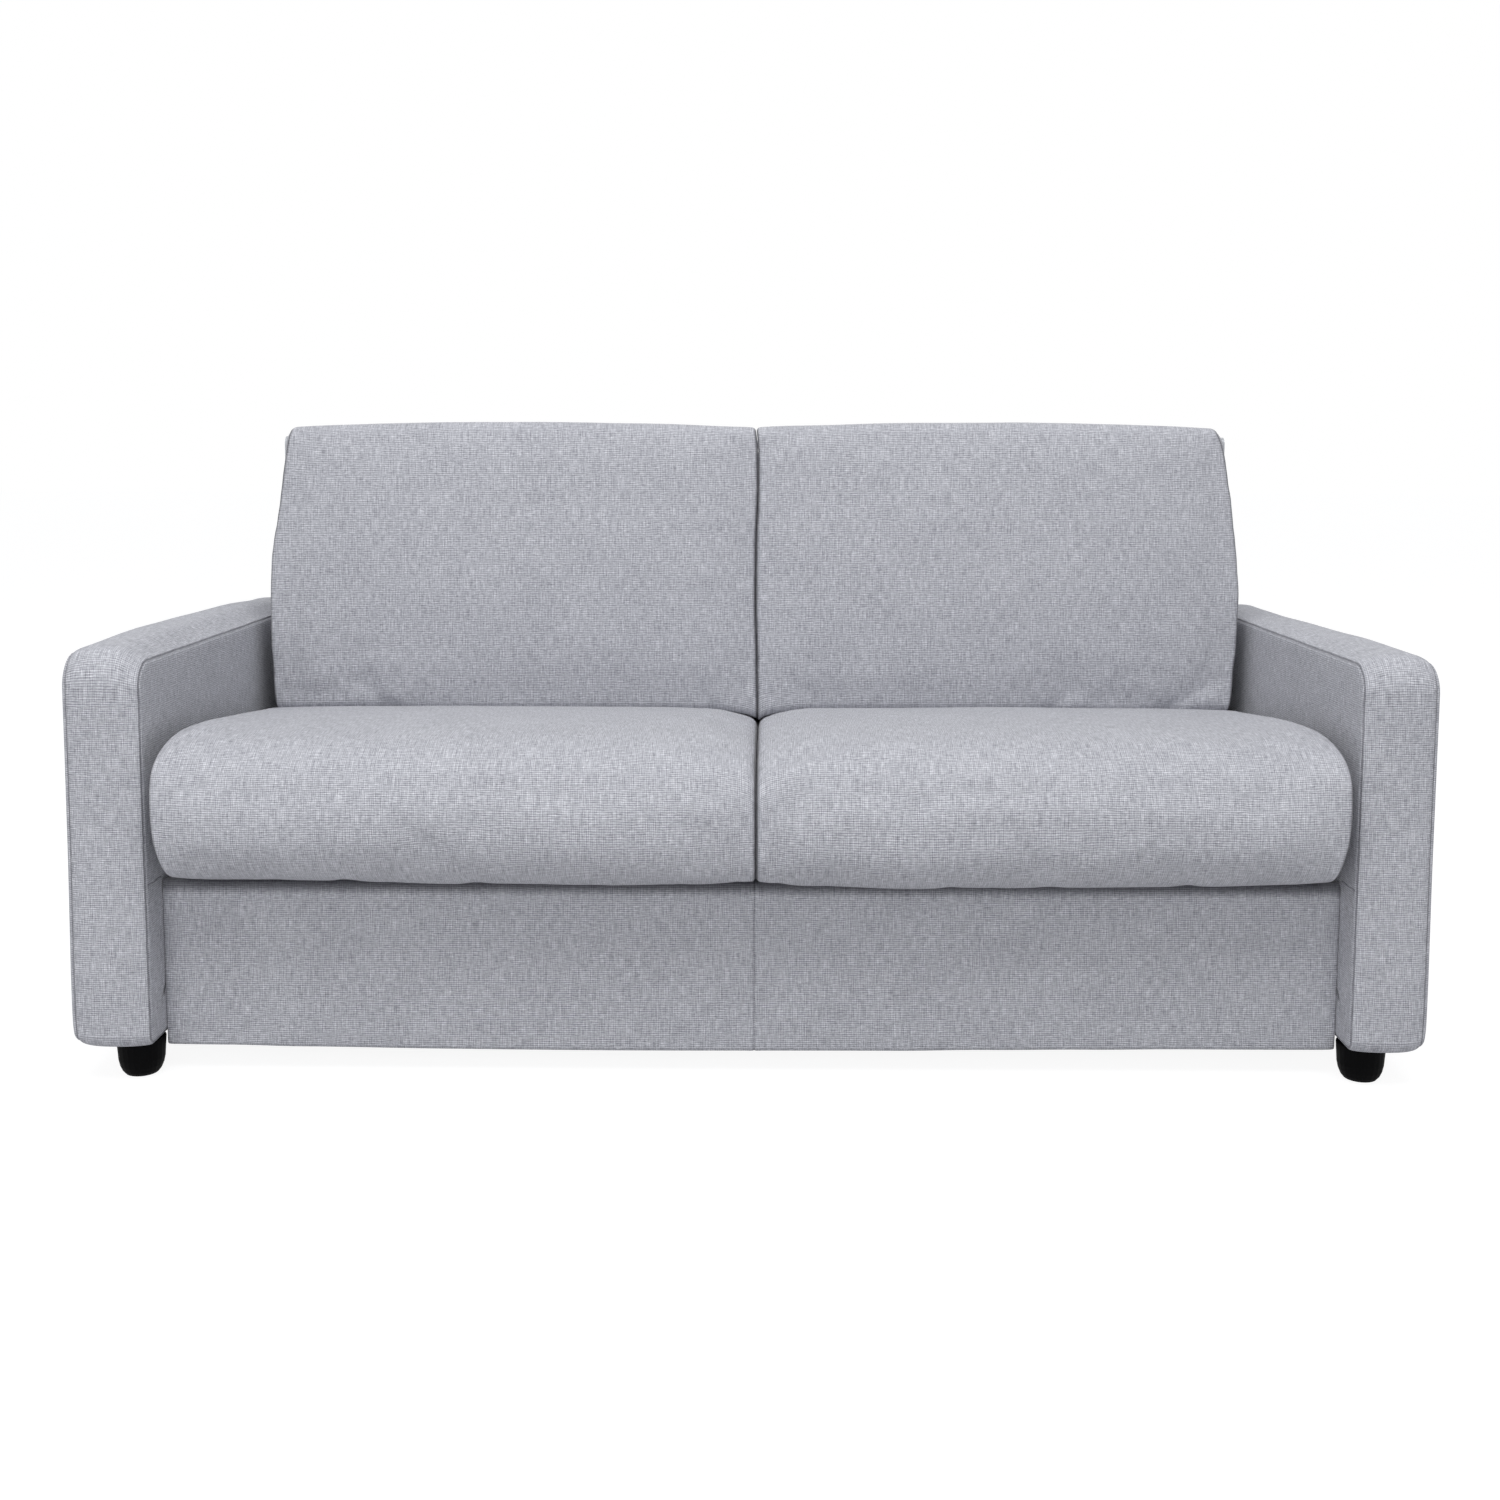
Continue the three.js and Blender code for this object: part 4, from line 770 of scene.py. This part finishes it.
def back_shape(side):
    def shape(p, n):
        x, y, z = p
        across = share_across(x, side, BACK_MIDDLE)
        crown = 4 * across * (1 - across)
        up = min(1.0, max(0.0, (z - BACK_FOOT) / 0.50))
        z += (BACK_CROWN * crown + BACK_UNEVEN_TOP * rumple((x, y, 0.9), 0.10, 7)) * smooth(0.82, 0.97, z)
        front = smooth(0.26, 0.16, y)
        belly = BACK_BELLY * math.sin(math.pi * up) * crown ** 0.5
        y -= (belly + BACK_UNEVEN_FRONT * rumple((x, 0, z), 0.15, 8)) * front
        crease = bump_at(across, 0.80, 0.16) * smooth(0.60, 0.49, z)
        y += BACK_CREASE * crease * front * math.sin(118 * z + 14 * across + 2 * side)
        low_front = front * smooth(0.545, 0.49, z)
        for place, width, lean in BACK_PINCHES:
            off = x - place - lean * (z - 0.475)
            fold = BACK_PINCH * bump_at(off, 0, width)
            ridge = BACK_RIDGE * bump_at(off, 2.2 * width, width)
            y += low_front * (fold - ridge)
        z -= seat_dip(x) * smooth(0.55, 0.48, z)
        outer = smooth(0.50, 1.0, across) ** 1.5
        behind = smooth(0.14, 0.26, y) * smooth(0.978, 0.948, z)
        x -= side * outer * along_table(z, BACK_DRAWN_IN[side]) * (1 - 0.85 * behind)
        x += smooth(0.25, 0.0, across) * along_table(z, BACK_GAP)
        return Vector((x, y, z))
    return shape


def put_cushions(kind, outline, middle, edge, make_shape, body, held):
    points = even(outline, OUTLINE_STEP)
    for side, word in SIDES:
        inner, outer = middle + side * CUSHION_GAP, side * CUSHION_END
        piece = cushion(f"{kind}_cushion_cover_{word}", points, inner, outer, edge, make_shape(side))
        settle(piece, held)
        piece.data.materials.append(FABRIC)
        add_subdivision(piece)
        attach(piece, body)
        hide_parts(f"{kind}_cushion_{word}")


def seat_held(p):
    """Held where it rests, at the rear, and at both ends."""
    rest = smooth(0.315, 0.300, p.z) * smooth(-0.40, -0.36, p.y)
    ends = smooth(0.030, 0.010, abs(p.x - SEAT_MIDDLE)) + smooth(0.828, 0.844, abs(p.x))
    return min(1.0, rest + smooth(0.05, 0.12, p.y) + ends)


def back_held(p):
    """Held where it rests against the bed, along its foot, and at both ends."""
    ends = smooth(0.030, 0.010, abs(p.x - BACK_MIDDLE)) + smooth(0.790, 0.810, abs(p.x))
    return min(1.0, smooth(0.24, 0.28, p.y) + smooth(0.52, 0.485, p.z) + smooth(0.94, 0.965, p.z) + ends)


put_cushions("seat", curve_through(SEAT_OUTLINE), SEAT_MIDDLE, seat_edge, seat_shape,
             "seat_section", seat_held)
put_cushions("back", rounded_outline(BACK_OUTLINE, BACK_RADII, 0.004), BACK_MIDDLE, back_edge, back_shape,
             "back_section", back_held)

# ---------------------------------------------------------------- panels

PANEL_HALF = 0.8747
# radii of a panel's side view: front foot, rear foot, rear top, front top
PANEL_RADII = [0.007, 0.004, 0.003, 0.008]
PANEL_COLUMNS = 110
# columns close together at a panel's ends and beside its seam
PANEL_EDGE_STEPS = [0.0, 0.0015, 0.004, 0.009]
PANEL_END_ZONE = 0.018
SEAM_STEPS = [-0.012, -0.007, -0.0036, -0.0018, -0.0007, 0.0, 0.0007, 0.0018, 0.0036, 0.007, 0.012]
# depth of the upright seam, of the swell beside it, of the fall at both ends, and how uneven the face is
SEAM_DEPTH, SEAM_SWELL, PANEL_END_FALL = 0.0022, 0.0008, 0.0035
PANEL_UNEVEN, PANEL_FOOT_WAVE = 0.0012, 0.0010
# how far the front panel's lower edge hangs down, by place along X
PANEL_DROP = [(-0.87, 0.002), (-0.79, 0.003), (-0.67, 0.0055), (-0.475, 0.007), (0.22, 0.008), (0.36, 0.0056),
              (0.50, 0.0035), (0.65, 0.0015), (0.87, 0.002)]


def panel_columns(seam_x):
    """Places along X where a panel's outline is set."""
    reach = PANEL_HALF - PANEL_END_ZONE
    xs = [lerp(-reach, reach, k / PANEL_COLUMNS) for k in range(PANEL_COLUMNS + 1)]
    xs = [x for x in xs if abs(x - seam_x) > PANEL_END_ZONE]
    xs += [seam_x + d for d in SEAM_STEPS]
    xs += [-PANEL_HALF + d for d in PANEL_EDGE_STEPS] + [PANEL_HALF - d for d in PANEL_EDGE_STEPS]
    return sorted(xs)


def panel(name, y_face, y_back, z0, z1, seam_x, facing, painted_shadow_and_hang):
    """A padded panel cover with an upright seam, darkened along it by painted shade. With the last argument
    at 1, a shadow is painted along its top, where the seat cushions' nose overhangs it, and its foot hangs.
    """
    outline = rounded_outline([(y_face, z0), (y_back, z0), (y_back, z1), (y_face, z1)], PANEL_RADII, 0.002)
    outline = resample(outline, OUTLINE_STEP)
    rings, painted_shade = [], []
    for x in panel_columns(seam_x):
        edge = PANEL_HALF - abs(x)
        off = x - seam_x
        beside = bump_at(off, 0.006, 0.004) + bump_at(off, -0.006, 0.004)
        sunk = SEAM_DEPTH * bump_at(off, 0, 0.0012) - SEAM_SWELL * beside
        sunk += PANEL_END_FALL * math.exp(-edge / 0.004)
        wave = PANEL_FOOT_WAVE * math.sin(x * 7)
        ring = []
        for p in outline:
            share = abs(p.x - y_back) / abs(y_face - y_back)
            soft = PANEL_UNEVEN * rumple((x, 0, p.y), 0.12, 9) * share * smooth(z0, z0 + 0.03, p.y)
            low = smooth(z0 + 0.02, z0, p.y)
            hang = painted_shadow_and_hang * along_table(x, PANEL_DROP) * smooth(z0 + 0.12, z0, p.y)
            ring.append(Vector((x, p.x - facing * (sunk * share + soft), p.y + wave * low - hang)))
        rings.append(ring)
        # painted shade in the upright seam, and with the last argument at 1 a painted shadow along the top
        # under the seat cushions' nose
        line = 0.25 * bump_at(off, 0, 0.0011)
        painted_shade.append([line + 0.9 * painted_shadow_and_hang * smooth(z1 - 0.022, z1 - 0.007, p.y) for p in outline])
    mappings = {"body": round_the_outline(arc_lengths(outline))}
    obj = loop_mesh(name, rings, ["body"] * (len(rings) - 1), mappings, painted_shade)
    obj.data.materials.append(FABRIC)
    return obj


# face, back, foot and top of each panel, place of its seam, the way it faces, and whether a shadow is painted
# along its top and its foot hangs
for name, node, args in (
    ("front_panel_upholstery", "front_panel_cover", (-0.371, -0.3478, 0.041, 0.2925, 0.0073, -1, 1)),
    ("rear_panel_upholstery", "rear_panel_cover", (0.465, 0.4418, 0.045, 0.880, 0.0, 1, 0)),
):
    piece = panel(name, *args)
    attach(piece, "sofa_base")
    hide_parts(node)

# ---------------------------------------------------------------- mattress

# size of the quilted squares, depth of their lines, and radius of the mattress's edges
QUILT = 0.118
QUILT_DEPTH = 0.0070
MATTRESS_ROUND = 0.020
TAPE_ROUND, TAPE_THICK = 0.016, 0.0034


def quilt_shape(low, high, thin):
    """Sewn channels that sink into both broad faces in squares."""
    middle = (low + high) / 2
    long = 3 - thin

    def shape(p, n):
        q = Vector(p)
        inside = [q.x - low[0], high[0] - q.x, q[long] - low[long], high[long] - q[long]]
        edge = smooth(0.012, 0.030, min(inside))
        face = smooth(0.6, 0.95, abs((n.x, n.y)[thin - 1]))
        lines = 0.0
        for value, centre in ((q.x, middle[0]), (q[long], middle[long])):
            off = (value - centre) / QUILT
            lines = max(lines, bump_at(off - round(off), 0, 0.10))
        q[thin] -= math.copysign(1, q[thin] - middle[thin]) * QUILT_DEPTH * lines * edge * face
        return q
    return shape


def mattress_edge(p, n):
    return MATTRESS_ROUND, MATTRESS_ROUND


def mattress(name, body, node):
    low, high = (Vector(corner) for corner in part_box(node))
    size = high - low
    thin = 1 if size.y < size.z else 2
    corners = [(low.y, low.z), (high.y, low.z), (high.y, high.z), (low.y, high.z)]
    outline = even(rounded_outline(corners, [MATTRESS_ROUND] * 4, 0.004), OUTLINE_STEP)
    obj = cushion(name, outline, low.x, high.x, mattress_edge, quilt_shape(low, high, thin), 0.015)
    obj.data.materials.append(TICKING)
    add_subdivision(obj)
    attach(obj, body)
    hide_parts(node)
    mattress_tapes(name, body, low, high, thin)


def mattress_tapes(name, body, low, high, thin):
    """The sewn tape along the edge of both broad faces, inside the mattress's own box."""
    long = 3 - thin
    inset = MATTRESS_ROUND * 0.30
    for word, level in (("lower", low[thin] + inset), ("upper", high[thin] - inset)):
        corners = [(low.x + inset, low[long] + inset), (high.x - inset, low[long] + inset),
                   (high.x - inset, high[long] - inset), (low.x + inset, high[long] - inset)]
        loop = resample(rounded_outline(corners, [TAPE_ROUND] * 4, 0.004), 0.02)
        points = []
        for q in loop:
            p = Vector((q.x, 0, 0))
            p[long], p[thin] = q.y, level
            points.append(p)
        obj = tube(f"{name}_tape_{word}", points, TAPE_THICK, closed=True)
        obj.data.materials.append(TAPE)
        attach(obj, body)


mattress("mattress_head_part", "head_section", "head_mattress")
mattress("mattress_middle_part", "seat_section", "middle_mattress")
mattress("mattress_foot_part", "back_section", "foot_mattress")

# ---------------------------------------------------------------- carried nodes

# finish of the nodes whose name holds each word, first match first. All others are painted steel
FINISHES = (
    ("arm_frame", TIMBER), ("panel_board", LINING_AND_GAP_SHADE), ("board", TIMBER), ("leg_pad", RUBBER),
    ("buffer", RUBBER), ("pin", PIN_STEEL), ("foot_left", FOOT_PLASTIC), ("foot_right", FOOT_PLASTIC),
)


def finish_for(name):
    return next((material for key, material in FINISHES if key in name), TUBE_PAINT)


for name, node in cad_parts.items():
    if not node.hide_render:
        node.data.materials.clear()
        node.data.materials.append(finish_for(name))

# ---------------------------------------------------------------- stage


def white_rays(tree):
    """1 for the rays that should see the white background."""
    rays = tree.nodes.new("ShaderNodeLightPath")
    seen = rays.outputs["Is Camera Ray"]
    for key in ("Is Glossy Ray", "Is Transmission Ray"):
        either = tree.nodes.new("ShaderNodeMath")
        either.operation = "MAXIMUM"
        tree.links.new(seen, either.inputs[0])
        tree.links.new(rays.outputs[key], either.inputs[1])
        seen = either.outputs[0]
    return seen


# share of plain white in what the camera sees of the floor, and its strength
FLOOR_WHITE_SHARE = 0.70
FLOOR_WHITE = 1.30
FLOOR_TONE = (0.56, 0.56, 0.57, 1)
FLOOR_REACH = 30
WORLD_TONE = (0.97, 0.98, 1.0, 1)
WORLD_LIGHT = 0.47
WHITE = (1, 1, 1, 1)


def stage_material():
    n = Nodes("studio_floor")
    n.shader.inputs["Base Color"].default_value = FLOOR_TONE
    n.shader.inputs["Roughness"].default_value = 0.9
    n.shader.inputs["Specular IOR Level"].default_value = 0.1
    white = n.new("ShaderNodeEmission")
    white.inputs["Color"].default_value = WHITE
    white.inputs["Strength"].default_value = FLOOR_WHITE
    mix = n.new("ShaderNodeMixShader")
    n.link(n.math("MULTIPLY", white_rays(n.tree), FLOOR_WHITE_SHARE), mix.inputs[0])
    n.link(n.shader.outputs[0], mix.inputs[1])
    n.link(white.outputs[0], mix.inputs[2])
    n.link(mix.outputs[0], n.out.inputs[0])
    return n.material


floor_corners = [(x * FLOOR_REACH, y * FLOOR_REACH, 0) for x, y in ((-1, -1), (1, -1), (1, 1), (-1, 1))]
floor = make_object("studio_floor_plane", floor_corners, [(0, 1, 2, 3)])
floor.data.materials.append(stage_material())

world = bpy.data.worlds.new("studio")
bpy.context.scene.world = world
world.use_nodes = True
tree = world.node_tree
tree.nodes.clear()
out = tree.nodes.new("ShaderNodeOutputWorld")
soft = tree.nodes.new("ShaderNodeBackground")
soft.inputs[0].default_value = WORLD_TONE
soft.inputs[1].default_value = WORLD_LIGHT
white = tree.nodes.new("ShaderNodeBackground")
white.inputs[0].default_value = WHITE
white.inputs[1].default_value = 1.0
mix = tree.nodes.new("ShaderNodeMixShader")
tree.links.new(white_rays(tree), mix.inputs[0])
tree.links.new(soft.outputs[0], mix.inputs[1])
tree.links.new(white.outputs[0], mix.inputs[2])
tree.links.new(mix.outputs[0], out.inputs[0])


def area_light(name, place, target, size, power):
    data = bpy.data.lights.new(name, "AREA")
    data.shape = "RECTANGLE"
    data.size, data.size_y = size
    data.energy = power
    light = bpy.data.objects.new(name, data)
    light.location = place
    light.rotation_mode = "QUATERNION"
    light.rotation_quaternion = (Vector(target) - Vector(place)).to_track_quat("-Z", "Y")
    bpy.context.collection.objects.link(light)


area_light("front", (-1.2, -4.3, 2.0), (0, 0, 0.45), (4.0, 1.3), 53)
area_light("overhead", (0, -2.4, 5.4), (0, -0.1, 0.45), (4.2, 2.6), 188)
area_light("rear", (0.4, 3.8, 2.2), (0, 0, 0.45), (2.6, 1.8), 22)

# the photograph's camera: focal length and width in its pixels, place, and turns about Z, X and its own axis
PHOTO_FOCAL, PHOTO_WIDTH = 1708.5, 1500
SENSOR_WIDTH = 36
CAMERA_SHIFT = -0.0845
CAMERA_PLACE = (0.0223, -2.8503, 0.9398)
CAMERA_PAN, CAMERA_DOWN, CAMERA_ROLL = 0.009, 0.1047, 0.0017

camera_data = bpy.data.cameras.new("photo_view")
camera = bpy.data.objects.new("photo_view", camera_data)
bpy.context.collection.objects.link(camera)
bpy.context.scene.camera = camera
camera_data.sensor_fit = "HORIZONTAL"
camera_data.sensor_width = SENSOR_WIDTH
camera_data.lens = PHOTO_FOCAL / PHOTO_WIDTH * SENSOR_WIDTH
camera_data.shift_y = CAMERA_SHIFT
camera_data.clip_start, camera_data.clip_end = 0.05, 100
pan = Matrix.Rotation(CAMERA_PAN, 4, "Z")
tilt = Matrix.Rotation(math.pi / 2 - CAMERA_DOWN, 4, "X")
roll = Matrix.Rotation(CAMERA_ROLL, 4, "Z")
camera.matrix_world = Matrix.Translation(CAMERA_PLACE) @ pan @ tilt @ roll

bpy.context.scene.view_settings.view_transform = "Standard"
